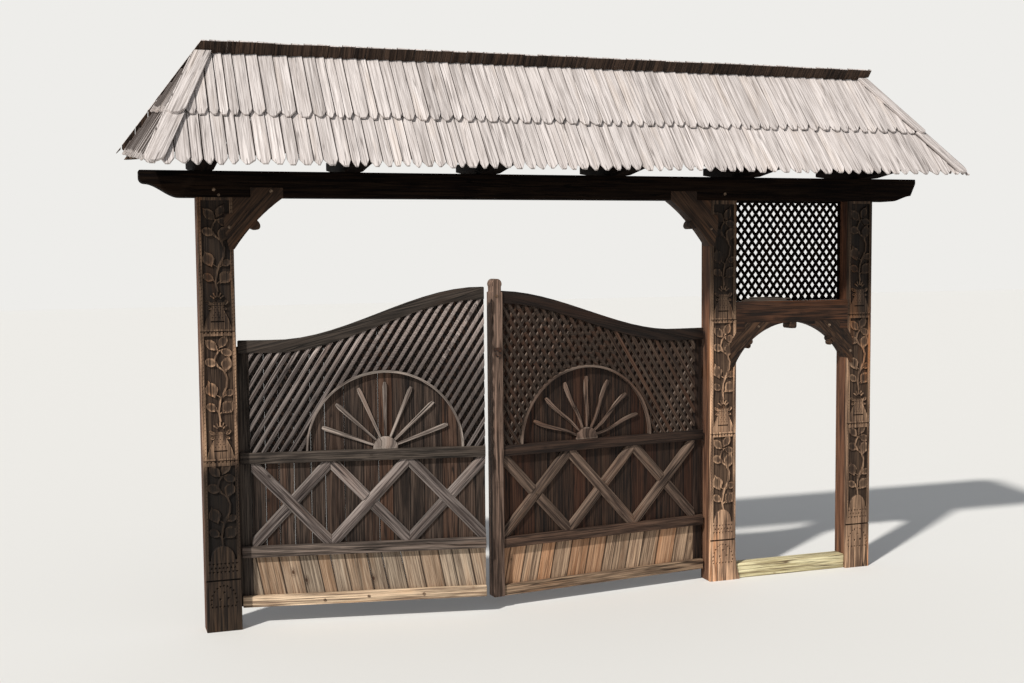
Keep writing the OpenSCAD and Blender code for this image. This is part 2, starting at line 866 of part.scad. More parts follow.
module right_hip_boards() {
    color("#b5aaa2") hip_boards(ridge_b, right_hip_run / front_slope, right_hip_board_w);
}

// Leaves. A leaf is drawn closed, with its hinge axis on the Z axis and its length along +X.

module left_place() {
    translate(left_axis) rotate(-left_ajar) children();
}

module right_place() {
    translate(right_axis) rotate(right_ajar) mirror([1, 0, 0]) children();
}

// Height of the top edge of a leaf above its bottom edge, at a distance u from the hinge
function top_at(u, leaf) =
    let (span = length_of(leaf) - curve_end_gap - curve_start)
    height_of(leaf) + rise_of(leaf) * ease((u - curve_start) / span);

module between(u0, u1, z0, z1, front, back) {
    translate([u0, front, z0]) cube([u1 - u0, back - front, z1 - z0]);
}

// An upright outline in the plane of the leaf, given thickness from front to back
module upright(front, back) {
    translate([0, back, 0]) rotate([90, 0, 0]) linear_extrude(back - front) children();
}

// Points along the top rail's curve, lowered by a drop
function rail_curve(leaf, drop) =
    let (steps = 16, step = (end_of(leaf) - rail_start) / steps)
    [for (i = [0 : steps]) let (u = rail_start + step * i) [u, top_at(u, leaf) - drop]];

function backwards(points) = [for (i = [len(points) - 1 : -1 : 0]) points[i]];

module top_rail(leaf) {
    upright(rail_front, stile_front)
        polygon(concat(rail_curve(leaf, 0), backwards(rail_curve(leaf, top_rail_h))));
}

module rails(leaf) {
    for (z = [0, lower_rail_up, mid_of(leaf)])
        between(rail_start, end_of(leaf), z, z + rail_h, rail_front, stile_front);
}

module hinge_stile(leaf) {
    between(stile_start, stile_end, 0, height_of(leaf) - top_rail_h / 2, stile_front, leaf_back);
}

// The field of the lattice: under the curved top rail, over the middle rail and around the hoop
module lattice_field(leaf) {
    low = mid_of(leaf) + rail_h + part_gap;
    difference() {
        intersection() {
            polygon(concat([[rail_start, low], [end_of(leaf), low]],
                backwards(rail_curve(leaf, top_rail_h + part_gap))));
            translate([stile_end, low]) square([end_of(leaf) - stile_end, height_of(leaf)]);
        }
        translate([sun_of(leaf), mid_of(leaf) + rail_h])
            circle(r = sun_r + hoop_w / 2 + part_gap, $fn = 96);
    }
}

// The slats lie on the front of the upright boards
module leaf_lattice(leaf) {
    low = mid_of(leaf) + rail_h;
    height = height_of(leaf) + rise_of(leaf) - low;
    intersection() {
        translate([stile_end, stile_front, low]) rotate([90, 0, 0])
            lattice_layers(end_of(leaf) - stile_end, height, leaf_pitch, leaf_slat_angle, leaf_slat_w,
                leaf_slat_t);
        upright(stile_front - 2 * leaf_slat_t - 1, stile_front + 1) lattice_field(leaf);
    }
}

// Half of a disc that stands on the middle rail, around the sunburst's centre
module half_disc(radius) {
    intersection() {
        circle(r = radius, $fn = 96);
        translate([-radius, 0]) square([2 * radius, radius]);
    }
}

// The sunburst is a hoop that the slats end at and a half-round hub, both on the middle rail
module sunburst(leaf) {
    translate([sun_of(leaf), 0, mid_of(leaf) + rail_h]) {
        upright(stile_front - hoop_t, stile_front) difference() {
            half_disc(sun_r + hoop_w / 2);
            translate([0, -1]) half_disc(sun_r - hoop_w / 2);
            translate([-sun_r, -1]) square([2 * sun_r - hoop_w, 2]);
        }
        upright(stile_front - hub_t, stile_front) half_disc(hub_r);
    }
}

// The rays spread from the hub towards the hoop
module rays(leaf, wave) {
    translate([sun_of(leaf), 0, mid_of(leaf) + rail_h]) upright(stile_front - ray_t, stile_front)
        for (i = [0 : ray_count - 1])
            rotate(90 - ray_fan / 2 + i * ray_fan / (ray_count - 1)) ray(wave);
}

// One ray widens outwards and has a narrowed tip. It is straight when wave is 0.
module ray(wave) {
    steps = 12;
    start = hub_r + ray_play;
    tip_at = 0.95;
    tip_share = 0.6;
    side = [for (i = [0 : steps]) let (t = i / steps)
        [start + (ray_len - start) * t, wave * sin(t * 360),
            ray_w * (1 + t) / 4 * (t > tip_at ? tip_share : 1)]];
    polygon(concat([for (p = side) [p[0], p[1] + p[2]]],
        [for (i = [steps : -1 : 0]) [side[i][0], side[i][1] - side[i][2]]]));
}

// The upright boards run from behind the lower rail to behind the curved top rail
module panel_boards(leaf) {
    low = lower_rail_up + rail_h / 2 + part_gap;
    lap = top_rail_h / 2;
    count = round((end_of(leaf) - stile_end) / panel_board_w);
    width = (end_of(leaf) - stile_end) / count;
    for (i = [0 : count - 1])
        let (u0 = stile_end + i * width + board_gap / 2, u1 = u0 + width - board_gap)
            upright(stile_front, board_back)
                polygon([[u0, low], [u1, low], [u1, top_at(u1, leaf) - lap], [u0, top_at(u0, leaf) - lap]]);
}

// The skirt boards lean, so their tops are nearer to the hinge than their feet
module skirt_boards(leaf) {
    high = lower_rail_up + rail_h / 2 - part_gap;
    count = ceil((end_of(leaf) - stile_end) / skirt_board_w) + 1;
    shift = high * tan(skirt_lean);
    half = board_gap / 2;
    intersection() {
        for (i = [-2 : count])
            upright(stile_front, board_back) translate([stile_end + i * skirt_board_w, 0])
                polygon([[half - shift, high], [skirt_board_w - half - shift, high],
                    [skirt_board_w - half, 0], [half, 0]]);
        between(stile_end + part_gap, end_of(leaf) - part_gap, 0, high, stile_front - 1, board_back + 1);
    }
}

// Pairs of bevelled battens cross between the middle and the lower rail. One of a pair runs through and
// the other is cut for it, and which one runs through changes from pair to pair.
module cross_battens(leaf) {
    cell = (end_of(leaf) - stile_end) / cross_count;
    low = lower_rail_up + rail_h;
    high = mid_of(leaf);
    corner = batten_w * 0.6;
    angle = atan((high - low - corner) / (cell - corner));
    reach = norm([cell, high - low]);
    half = batten_w / 2;
    cut = half + cross_play;
    bevelled = [[-half, 0], [-half, -batten_t / 2], [-half / 2, -batten_t], [half / 2, -batten_t],
        [half, -batten_t / 2], [half, 0]];
    gap = [[-cut, 1], [-cut, -batten_t - 1], [cut, -batten_t - 1], [cut, 1]];
    for (i = [0 : cross_count - 1]) {
        way = i % 2 == 0 ? 1 : -1;
        intersection() {
            between(stile_end + i * cell + part_gap, stile_end + (i + 1) * cell - part_gap, low, high,
                stile_front - batten_t, stile_front);
            translate([stile_end + (i + 0.5) * cell, stile_front, (low + high) / 2]) {
                batten(way * angle, reach, bevelled);
                difference() {
                    batten(-way * angle, reach, bevelled);
                    batten(way * angle, reach, gap);
                }
            }
        }
    }
}

module batten(angle, reach, section) {
    rotate([0, 90 + angle, 0]) translate([0, 0, -reach / 2]) linear_extrude(reach) polygon(section);
}

// An eye on a plate that is fixed to the back of the hinge stile
module hinge_eyes(leaf) {
    plate_t = 6;
    plate_h = 200;
    plate_w = hinge_stile_w - 8;
    tab_t = axis_off_y - pin_r - 3;
    for (z = hinges_of(leaf)) translate([0, 0, z - eye_h / 2]) difference() {
        union() {
            cylinder(h = eye_h, r = eye_r);
            translate([0, leaf_back, 0]) cube([stile_start + 4, tab_t, eye_h]);
            translate([stile_start, leaf_back, (eye_h - plate_h) / 2])
                cube([plate_w, plate_t, plate_h]);
        }
        translate([0, 0, -1]) cylinder(h = eye_h + 2, r = pin_r + pin_play);
    }
}

// Pins on arms that are fixed to the back of a post, which lies towards way along X
module pintles(axis, leaf, bottom, way) {
    arm_h = 18;
    arm_len = 90;
    arm_t = axis_off_y + pin_r - 2;
    under_eye = 2;
    pin_over = 14;
    for (z = hinges_of(leaf))
        translate([axis[0], axis[1], bottom + z - eye_h / 2 - arm_h - under_eye]) {
            cylinder(h = arm_h, r = eye_r);
            cylinder(h = arm_h + eye_h + pin_over, r = pin_r);
            translate([way < 0 ? -arm_len : 0, -axis_off_y, 0]) cube([arm_len, arm_t, arm_h]);
        }
}

module left_up() {
    left_place() translate([0, 0, left_bottom]) children();
}

module right_up() {
    right_place() translate([0, 0, right_bottom]) children();
}

module left_pintles() {
    color("#2b2623") pintles(left_axis, left_leaf, left_bottom, -1);
}

module right_pintles() {
    color("#2b2623") pintles(right_axis, right_leaf, right_bottom, 1);
}

module left_hinge_stile() {
    color("#41352d") left_up() hinge_stile(left_leaf);
}

module left_meeting_stile() {
    color("#41352d") left_up()
        between(left_len - back_stile_w, left_len, 0, left_leaf_h + left_rise - top_rail_h / 2,
            board_back, board_back + back_stile_t);
}

module left_top_rail() {
    color("#3d332c") left_up() top_rail(left_leaf);
}

module left_rails() {
    color("#6a5b4e") left_up() rails(left_leaf);
}

module left_lattice() {
    color("#5c5047") left_up() leaf_lattice(left_leaf);
}

module left_sunburst() {
    color("#4c4138") left_up() sunburst(left_leaf);
}

module left_rays() {
    color("#7a6c60") left_up() rays(left_leaf, 0);
}

module left_panel_boards() {
    color("#54463b") left_up() panel_boards(left_leaf);
}

module left_cross_battens() {
    color("#74675b") left_up() cross_battens(left_leaf);
}

module left_skirt_boards() {
    color("#8c7a66") left_up() skirt_boards(left_leaf);
}

module left_hinges() {
    color("#2b2623") left_up() hinge_eyes(left_leaf);
}

module right_hinge_stile() {
    color("#3d2c23") right_up() hinge_stile(right_leaf);
}

// The meeting stile has a neck and a rounded head above the top rails
module right_meeting_stile() {
    top = right_leaf_h + right_rise + stile_horn;
    head_r = meeting_stile_w * 0.45;
    neck_h = 20;
    neck_in = 10;
    shoulder = top - 2 * head_r - neck_h;
    color("#4a3d34") right_up() upright(rail_front - stile_proud, leaf_back) {
        translate([right_end, 0]) square([meeting_stile_w, shoulder]);
        translate([right_end + neck_in, shoulder - 1])
            square([meeting_stile_w - 2 * neck_in, 2 * neck_h]);
        translate([right_end + meeting_stile_w / 2, top - head_r]) circle(r = head_r);
    }
}

module right_top_rail() {
    color("#382a23") right_up() top_rail(right_leaf);
}

module right_rails() {
    color("#4b382d") right_up() rails(right_leaf);
}

module right_lattice() {
    color("#43342b") right_up() leaf_lattice(right_leaf);
}

module right_sunburst() {
    color("#3d2d24") right_up() sunburst(right_leaf);
}

module right_rays() {
    wave = 7;
    color("#5f4d40") right_up() rays(right_leaf, wave);
}

module right_panel_boards() {
    color("#402f25") right_up() panel_boards(right_leaf);
}

module right_cross_battens() {
    color("#544135") right_up() cross_battens(right_leaf);
}

module right_skirt_boards() {
    color("#87705a") right_up() skirt_boards(right_leaf);
}

module right_hinges() {
    color("#2b2623") right_up() hinge_eyes(right_leaf);
}

// A plate with a ring that hangs from it, on the front of the meeting stile
module right_latch() {
    face = rail_front - stile_proud;
    plate_t = 6;
    plate_h = 28;
    plate_in = 14;
    ring_r = 22;
    wire_r = 4;
    ring_up = latch_up + 6 - ring_r;
    color("#2b2623") right_up() {
        between(right_end + plate_in, right_len - plate_in, latch_up, latch_up + plate_h,
            face - plate_t, face);
        translate([right_end + meeting_stile_w / 2, face - plate_t - wire_r / 2, ring_up])
            rotate([90, 0, 0]) rotate_extrude() translate([ring_r, 0]) circle(r = wire_r, $fn = 16);
    }
}

left_post();
middle_post();
right_post();
lintel();
left_brace();
middle_brace();
wicket_transom();
wicket_left_brace();
wicket_right_brace();
wicket_pendant();
wicket_lattice();
threshold();
cross_bearers();
front_rafters();
back_rafters();
hip_rafters();
front_laths();
back_laths();
hip_laths();
front_lower_course();
front_upper_course();
back_lower_course();
back_upper_course();
left_hip_shingles();
right_hip_shingles();
left_hip_boards();
right_hip_boards();
left_pintles();
right_pintles();
left_hinge_stile();
left_meeting_stile();
left_top_rail();
left_rails();
left_lattice();
left_sunburst();
left_rays();
left_panel_boards();
left_cross_battens();
left_skirt_boards();
left_hinges();
right_hinge_stile();
right_meeting_stile();
right_top_rail();
right_rails();
right_lattice();
right_sunburst();
right_rays();
right_panel_boards();
right_cross_battens();
right_skirt_boards();
right_hinges();
right_latch();
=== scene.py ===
import json
import math
import random
import bpy
import numpy as np
from mathutils import Matrix, Vector


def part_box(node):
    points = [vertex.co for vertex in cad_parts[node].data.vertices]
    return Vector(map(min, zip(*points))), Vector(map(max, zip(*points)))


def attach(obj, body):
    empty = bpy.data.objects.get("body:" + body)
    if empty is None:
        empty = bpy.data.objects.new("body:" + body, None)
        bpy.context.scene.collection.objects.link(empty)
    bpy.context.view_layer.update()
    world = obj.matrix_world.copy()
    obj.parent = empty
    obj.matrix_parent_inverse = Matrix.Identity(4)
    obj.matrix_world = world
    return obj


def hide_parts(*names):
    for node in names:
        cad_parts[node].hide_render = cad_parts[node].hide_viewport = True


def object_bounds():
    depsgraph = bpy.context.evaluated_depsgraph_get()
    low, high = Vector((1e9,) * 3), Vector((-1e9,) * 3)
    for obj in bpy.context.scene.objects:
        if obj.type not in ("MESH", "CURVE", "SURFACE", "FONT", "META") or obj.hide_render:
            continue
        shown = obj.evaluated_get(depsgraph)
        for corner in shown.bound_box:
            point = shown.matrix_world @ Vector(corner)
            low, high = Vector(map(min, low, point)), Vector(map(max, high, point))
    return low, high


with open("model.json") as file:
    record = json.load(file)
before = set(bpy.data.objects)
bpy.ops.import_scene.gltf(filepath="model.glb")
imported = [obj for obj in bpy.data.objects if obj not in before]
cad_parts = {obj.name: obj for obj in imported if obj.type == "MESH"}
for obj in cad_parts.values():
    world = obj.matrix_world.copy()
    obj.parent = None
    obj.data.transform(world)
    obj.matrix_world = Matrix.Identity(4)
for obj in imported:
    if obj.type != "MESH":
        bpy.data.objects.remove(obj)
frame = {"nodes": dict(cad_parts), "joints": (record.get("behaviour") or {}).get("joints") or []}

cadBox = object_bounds()
dice = random.Random(11)
print("frame loaded:", len(frame["nodes"]), "nodes")


# selecting and editing

def clearSelection():
    if bpy.context.object and bpy.context.object.mode != "OBJECT":
        bpy.ops.object.mode_set(mode="OBJECT")
    bpy.ops.object.select_all(action="DESELECT")


def pick(*objects):
    clearSelection()
    for obj in objects:
        obj.select_set(True)
    bpy.context.view_layer.objects.active = objects[0]
    return objects[0]


def openMesh(obj, mode="VERT", choice="SELECT"):
    pick(obj)
    bpy.ops.object.mode_set(mode="EDIT")
    bpy.ops.mesh.select_mode(type=mode)
    bpy.ops.mesh.select_all(action=choice)


def closeMesh():
    bpy.ops.object.mode_set(mode="OBJECT")


def chooseVerts(obj, test):      # opens edit mode with the vertices selected that pass the test
    openMesh(obj, "VERT", "DESELECT")
    closeMesh()
    for vert in obj.data.vertices:
        vert.select = test(vert.co)
    bpy.ops.object.mode_set(mode="EDIT")


def chooseFaces(obj, test):      # the same for faces, by their middle and normal
    openMesh(obj, "FACE", "DESELECT")
    closeMesh()
    for face in obj.data.polygons:
        face.select = test(face.center, face.normal)
    bpy.ops.object.mode_set(mode="EDIT")


def pull(obj, test, move=(0, 0, 0), size=(1, 1, 1), about=(0, 0, 0)):
    chooseVerts(obj, test)
    if tuple(size) != (1, 1, 1):
        bpy.ops.transform.resize(value=size, center_override=about)
    if tuple(move) != (0, 0, 0):
        bpy.ops.transform.translate(value=move)
    closeMesh()


def growOut(move, size, about):      # extrudes the selected faces and sizes their new end
    bpy.ops.mesh.extrude_region_move(TRANSFORM_OT_translate={"value": tuple(move)})
    bpy.ops.transform.resize(value=size, center_override=tuple(about))


def cutAway(obj, point, normal):      # removes what lies beyond a plane and closes the cut
    openMesh(obj)
    bpy.ops.mesh.bisect(plane_co=point, plane_no=normal, use_fill=True, clear_outer=True, threshold=1e-6)
    closeMesh()


def settle(obj):
    pick(obj)
    bpy.ops.object.transform_apply(location=True, rotation=True, scale=True)
    return obj


def block(low, high, name="block"):
    clearSelection()
    middle = [(a + b) / 2 for a, b in zip(low, high)]
    bpy.ops.mesh.primitive_cube_add(size=1, location=middle, scale=[b - a for a, b in zip(low, high)])
    bpy.context.object.name = name
    return settle(bpy.context.object)


def disc(middle, radius, depth, sides, name="disc"):      # a cylinder whose axis points to the front
    clearSelection()
    bpy.ops.mesh.primitive_cylinder_add(vertices=sides, radius=radius, depth=depth, location=middle,
                                        rotation=(math.pi / 2, 0, 0))
    bpy.context.object.name = name
    return settle(bpy.context.object)


def applyAll(obj):
    pick(obj)
    for modifier in list(obj.modifiers):
        bpy.ops.object.modifier_apply(modifier=modifier.name)
    return obj


def softenEdges(obj, width, segments=2, angle=35):
    bevel = obj.modifiers.new("edge", "BEVEL")
    bevel.width = width
    bevel.segments = segments
    bevel.limit_method = "ANGLE"
    bevel.angle_limit = math.radians(angle)
    return applyAll(obj)


def discard(*objects):
    for obj in objects:
        bpy.data.objects.remove(obj)


def carve(obj, cutter):
    cut = obj.modifiers.new("carve", "BOOLEAN")
    cut.operation = "DIFFERENCE"
    cut.solver = "EXACT"
    cut.use_self = True
    cut.object = cutter
    applyAll(obj)
    discard(cutter)
    return obj


def smooth(obj, angle=30):
    pick(obj)
    bpy.ops.object.shade_smooth_by_angle(angle=math.radians(angle))
    return obj


def turnOut(obj):      # merges doubles and turns all normals outward
    openMesh(obj)
    bpy.ops.mesh.remove_doubles(threshold=1e-6)
    bpy.ops.mesh.normals_make_consistent(inside=False)
    closeMesh()
    return obj


def twin(obj, matrix=None, name=None):      # a copy with a mesh of its own, moved in its mesh
    copy = bpy.data.objects.new(name or obj.name, obj.data.copy())
    bpy.context.scene.collection.objects.link(copy)
    if matrix is not None:
        copy.data.transform(matrix)
        if matrix.is_negative:
            copy.data.flip_normals()
    return copy


def joined(objects, name):
    pick(*objects)
    if len(objects) > 1:
        bpy.ops.object.join()
    obj = bpy.context.object
    obj.name = name
    obj.data.name = name
    return obj


def takeNode(node, name):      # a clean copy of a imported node's mesh to work on
    obj = bpy.data.objects.new(name, frame["nodes"][node].data.copy())
    bpy.context.scene.collection.objects.link(obj)
    obj.data.materials.clear()
    openMesh(obj)
    bpy.ops.mesh.customdata_custom_splitnormals_clear()
    bpy.ops.mesh.remove_doubles(threshold=2e-5)
    bpy.ops.mesh.dissolve_limited(angle_limit=math.radians(0.6))
    closeMesh()
    return obj


def looseParts(obj):
    openMesh(obj)
    bpy.ops.mesh.separate(type="LOOSE")
    closeMesh()
    return list(bpy.context.selected_objects)


# every wooden piece carries its own grain: how far along, across and into the wood a point lies

def setGrain(obj, along=None, origin=None):
    count = len(obj.data.vertices)
    points = np.empty(count * 3)
    obj.data.vertices.foreach_get("co", points)
    points = points.reshape(-1, 3)
    start = points.mean(0) if origin is None else np.array(origin)
    if along is None:
        spread = points - points.mean(0)
        along = np.linalg.eigh(spread.T @ spread)[1][:, 2]
    first = np.array(Vector(along).normalized())
    helper = np.array((0.0, 1.0, 0.0)) if abs(first[1]) < 0.7 else np.array((1.0, 0.0, 0.0))
    second = np.cross(helper, first)
    second = second / np.linalg.norm(second)
    third = np.cross(first, second)
    local = (points - start) @ np.array([first, second, third]).T
    half = (local.max(0) - local.min(0)) / 2
    if half[2] > half[1]:      # the wider side is across, the thinner one is depth
        local, half = local[:, [0, 2, 1]], half[[0, 2, 1]]
    share = (local - (local.max(0) + local.min(0)) / 2) / np.maximum(half, 1e-6)
    for name, kind, key, values in (("grain", "FLOAT_VECTOR", "vector", local),
                                    ("share", "FLOAT_VECTOR", "vector", share),
                                    ("tone", "FLOAT", "value", np.full(count, dice.random()))):
        layer = obj.data.attributes.get(name) or obj.data.attributes.new(name, kind, "POINT")
        layer.data.foreach_set(key, values.astype(np.float32).ravel())
    return obj


def paint(red, green, blue):      # a colour as a monitor shows it, made linear
    parts = [c / 255 for c in (red, green, blue)]
    return tuple(c / 12.92 if c <= 0.04045 else ((c + 0.055) / 1.055) ** 2.4 for c in parts) + (1.0,)


# materials

class Wire:      # a socket that can be reckoned with
    def __init__(self, tree, socket):
        self.tree = tree
        self.socket = socket

    def node(self, kind, settings=None, sockets=None, out=0):
        made = self.tree.nodes.new(kind)
        for key, value in (settings or {}).items():
            setattr(made, key, value)
        for key, value in (sockets or {}).items():
            if isinstance(value, Wire):
                self.tree.links.new(value.socket, made.inputs[key])
            else:
                made.inputs[key].default_value = value
        return Wire(self.tree, made.outputs[out])

    def math(self, operation, *others):
        return self.node("ShaderNodeMath", {"operation": operation}, dict(enumerate((self,) + others)))

    def __add__(self, other):
        return self.math("ADD", other)

    def __sub__(self, other):
        return self.math("SUBTRACT", other)

    def __mul__(self, other):
        return self.math("MULTIPLY", other)

    def __rsub__(self, other):
        return self.node("ShaderNodeMath", {"operation": "SUBTRACT"}, {0: other, 1: self})

    __radd__ = __add__
    __rmul__ = __mul__

    def step(self, low, high):      # 0 below low, 1 above high, smooth between
        return self.node("ShaderNodeMapRange", {"interpolation_type": "SMOOTHSTEP"},
                         {"Value": self, "From Min": low, "From Max": high})

    def seam(self, width):      # 1 on the thin lines where a noise passes its middle
        return 1.0 - (self - 0.5).math("ABSOLUTE").step(0.0, width)

    def blend(self, first, second):      # self is the share of the second colour
        return self.node("ShaderNodeMix", {"data_type": "RGBA"}, {0: self, 6: first, 7: second}, 2)

    def shaded(self, colour):      # the colour times this value
        return self.node("ShaderNodeMix", {"data_type": "RGBA", "blend_type": "MULTIPLY"},
                         {0: 1.0, 6: colour, 7: self.vector(self, self, self)}, 2)

    def vector(self, *parts):
        return self.node("ShaderNodeCombineXYZ", None, dict(enumerate(parts)))

    def stretch(self, *scale):
        return self.node("ShaderNodeVectorMath", {"operation": "MULTIPLY"}, {0: self, 1: scale})

    def shift(self, other):
        return self.node("ShaderNodeVectorMath", {"operation": "ADD"}, {0: self, 1: other})

    def noise(self, detail=3.0, rough=0.55, distort=0.0):
        return self.node("ShaderNodeTexNoise", None, {"Vector": self, "Scale": 1.0, "Detail": detail,
                                                     "Roughness": rough, "Distortion": distort})

    def parts(self):
        return [self.node("ShaderNodeSeparateXYZ", None, {0: self}, i) for i in range(3)]


def newMaterial(name):
    material = bpy.data.materials.new(name)
    material.use_nodes = True
    return material, material.node_tree, material.node_tree.nodes["Principled BSDF"]


def wireUp(shader, colour, rough, height, strength, distance):
    bump = height.node("ShaderNodeBump", None, {"Strength": strength, "Distance": distance, "Height": height})
    for name, wire in (("Base Color", colour), ("Roughness", rough), ("Normal", bump)):
        wire.tree.links.new(wire.socket, shader.inputs[name])


def attribute(tree, name, out):
    made = tree.nodes.new("ShaderNodeAttribute")
    made.attribute_name = name
    return Wire(tree, made.outputs[out])


def objectPoint(tree):
    return Wire(tree, tree.nodes.new("ShaderNodeTexCoord").outputs["Object"])


def alongAxis(point, direction):      # Object coordinates turned so that x runs with the wood
    first = Vector(direction).normalized()
    helper = Vector((0, 1, 0)) if abs(first.y) < 0.7 else Vector((1, 0, 0))
    second = helper.cross(first).normalized()
    third = first.cross(second)
    dots = [point.node("ShaderNodeVectorMath", {"operation": "DOT_PRODUCT"}, {0: point, 1: tuple(axis)}, 1)
            for axis in (first, second, third)]
    return point.vector(*dots)


def shares(tree):      # how far out a point lies along, across and into its piece, from -1 to 1
    return attribute(tree, "share", "Vector").parts()


usualWood = {
    "warmth": 0.4,             # how strongly the browner patches show
    "spread": 0.4,             # how much paler one piece is than the next
    "mixed": 0.0,              # how far some pieces turn to the browner colour
    "knots": 0.5, "knotAlong": 5.0, "knotAcross": 8.0,
    "fine": 1.0,               # the grain is finer above 1
    "figure": 0.15, "rings": 26.0,
    "cracks": 0.9, "crackWidth": 0.035,
    "lines": 0.65,
    "contrast": 2.3,
    "relief": 0.8, "reliefDepth": 0.003,
    "rough": 0.74, "gloss": 0.2,
    "sunk": 0.0,               # painted shade in what is carved into the front
    "edge": 0.0, "edgeFrom": (0.85, 0.99),      # dirt and painted shade along the long edges, in the joints
    "worn": 0.0, "wornFrom": (0.7, 0.95),       # painted highlight: long edges turned to a paler colour
    "heights": None,           # pairs of a height above the ground and the brightness there: painted light and shade
}


def stain(dark, light, warm, crack, knot, **special):      # five colours, and what isn't as usual
    colours = {"dark": dark, "light": light, "warm": warm, "crack": crack, "knot": knot}
    return {**usualWood, **{name: paint(*colour) for name, colour in colours.items()}, **special}


def woodMaterial(name, look, direction=None):
    material, tree, shader = newMaterial(name)
    if direction is None:
        grain = attribute(tree, "grain", "Vector")
        tone = attribute(tree, "tone", "Fac")
    else:
        point = objectPoint(tree)
        grain = alongAxis(point, direction)
        cell = point.node("ShaderNodeVectorMath", {"operation": "SNAP"}, {0: point, 1: look["cell"]})
        tone = cell.node("ShaderNodeTexWhiteNoise", None, {"Vector": cell}, 0)
    wood = grain.shift(tone.vector(tone * 31.0, tone * 17.0, tone * 7.0))

    def streaks(along, across, detail, rough, distort=0.0):      # a noise drawn out along the wood
        return wood.stretch(along, across * look["fine"], across * look["fine"]).noise(detail, rough, distort)

    fibre = streaks(2.2, 75.0, 6.0, 0.72)
    hair = streaks(9.0, 420.0, 2.0, 0.5)
    rings = (streaks(0.8, 11.0, 1.0, 0.5, 0.4) * look["rings"]).math("SINE") * 0.5 + 0.5
    broad = wood.stretch(1.1, 9.0, 9.0).noise(3.0, 0.6)
    line = streaks(1.3, 55.0, 2.0, 0.5).seam(0.075) * look["lines"]
    crack = streaks(0.9, 30.0, 1.0, 0.4, 0.15).seam(look["crackWidth"])
    crack = crack * wood.stretch(1.7, 14.0, 14.0).noise(2.0).step(0.45, 0.56) * look["cracks"]

    knotMap = wood.stretch(look["knotAlong"], look["knotAcross"], 0.4)
    knot, chosen = [knotMap.node("ShaderNodeTexVoronoi", None, {"Vector": knotMap, "Scale": 1.0}, out)
                    for out in (0, 1)]
    some = chosen.parts()[0].step(0.5, 0.55) * look["knots"]      # about half of the cells hold a knot
    knotCore = (1.0 - knot.step(0.04, 0.1)) * some
    knotRings = (knot * 110.0).math("SINE") * 0.5 + 0.5
    nearKnot = (1.0 - knot.step(0.12, 0.26)) * some

    light = fibre + rings * look["figure"] + hair * 0.4 + broad * 0.25      # 0.825 is the mean without rings
    light = ((light - (0.825 + look["figure"] / 2)) * look["contrast"] + 0.5).step(0.0, 1.0)
    colour = light.blend(look["dark"], look["light"])
    colour = (broad.step(0.54, 0.7) * look["warmth"]).blend(colour, look["warm"])
    if look["mixed"]:
        colour = ((tone * 7.3).math("FRACT").step(0.4, 0.95) * look["mixed"]).blend(colour, look["warm"])
    colour = line.blend(colour, look["crack"])
    colour = (nearKnot * (knotRings * 0.55 + 0.25)).blend(colour, look["dark"])
    colour = knotCore.blend(colour, look["knot"])
    colour = crack.blend(colour, look["crack"])
    # painted shade: the carved ground of a post's front darkened to the crack colour
    if look["sunk"]:
        depth, side = grain.parts()[2], shares(tree)[1].math("ABSOLUTE")
        low = depth.step(*look["sunkFrom"]) * (1.0 - depth.step(*look["sunkTo"]))
        low = low * (1.0 - side.step(0.94, 0.97))
        colour = (low * look["sunk"]).blend(colour, look["crack"])
    if look["edge"]:      # dirt and painted shade along the long edges, in the joints, with short splits at both ends
        along, side, depth = shares(tree)
        split = 1.0 - (side + tone - 0.5).math("ABSOLUTE").step(0.02, 0.07)
        split = split * along.math("ABSOLUTE").step(0.8, 0.9)
        jointDirtAndShade = side.math("ABSOLUTE").step(*look["edgeFrom"]).math("MAXIMUM", split)
        colour = (jointDirtAndShade * look["edge"]).blend(colour, look["crack"])
    # painted highlight along the long edges, as of light glancing off them
    if look["worn"]:
        side = shares(tree)[1].math("ABSOLUTE")
        colour = (side.step(*look["wornFrom"]) * (fibre * 1.2) * look["worn"]).blend(colour, look["pale"])
    shade = tone * look["spread"] + (1.0 - look["spread"] / 2)
    # painted light and shade: brightness changed with height
    if look["heights"]:
        height = objectPoint(tree).parts()[2]
        (last, share), *others = look["heights"]
        factor = share
        for place, following in others:
            share = height.step(last, place) * (following - factor) + share
            last, factor = place, following
        shade = shade * share
    colour = shade.shaded(colour)
    if look["sunk"]:      # a carved post's sides keep one brown, free of the painted light and shade by height
        beside = grain.parts()[2].step(*look["sidesFrom"]) * 0.85
        colour = beside.blend(colour, light.blend(*look["sides"]))

    height = fibre * 0.8 + rings * 0.15 + hair * 0.2 - crack * 1.1 - knotCore * 0.2
    wireUp(shader, colour, fibre * 0.25 + (look["rough"] - 0.1), height, look["relief"], look["reliefDepth"])
    shader.inputs["Specular IOR Level"].default_value = look["gloss"]
    return material


iron = {"clean": paint(34, 31, 30), "rusty": paint(92, 56, 36), "spots": 60, "patches": 14, "metal": 0.55}


def ironMaterial(name):
    material, tree, shader = newMaterial(name)
    point = objectPoint(tree)
    spots = point.stretch(*[iron["spots"]] * 3).noise(4.0)
    patches = point.stretch(*[iron["patches"]] * 3).noise(3.0)
    colour = (spots * 0.6 + patches * 0.5).step(0.45, 0.7).blend(iron["clean"], iron["rusty"])
    wireUp(shader, colour, spots * 0.3 + 0.5, spots, 0.5, 0.001)
    shader.inputs["Metallic"].default_value = iron["metal"]
    return material


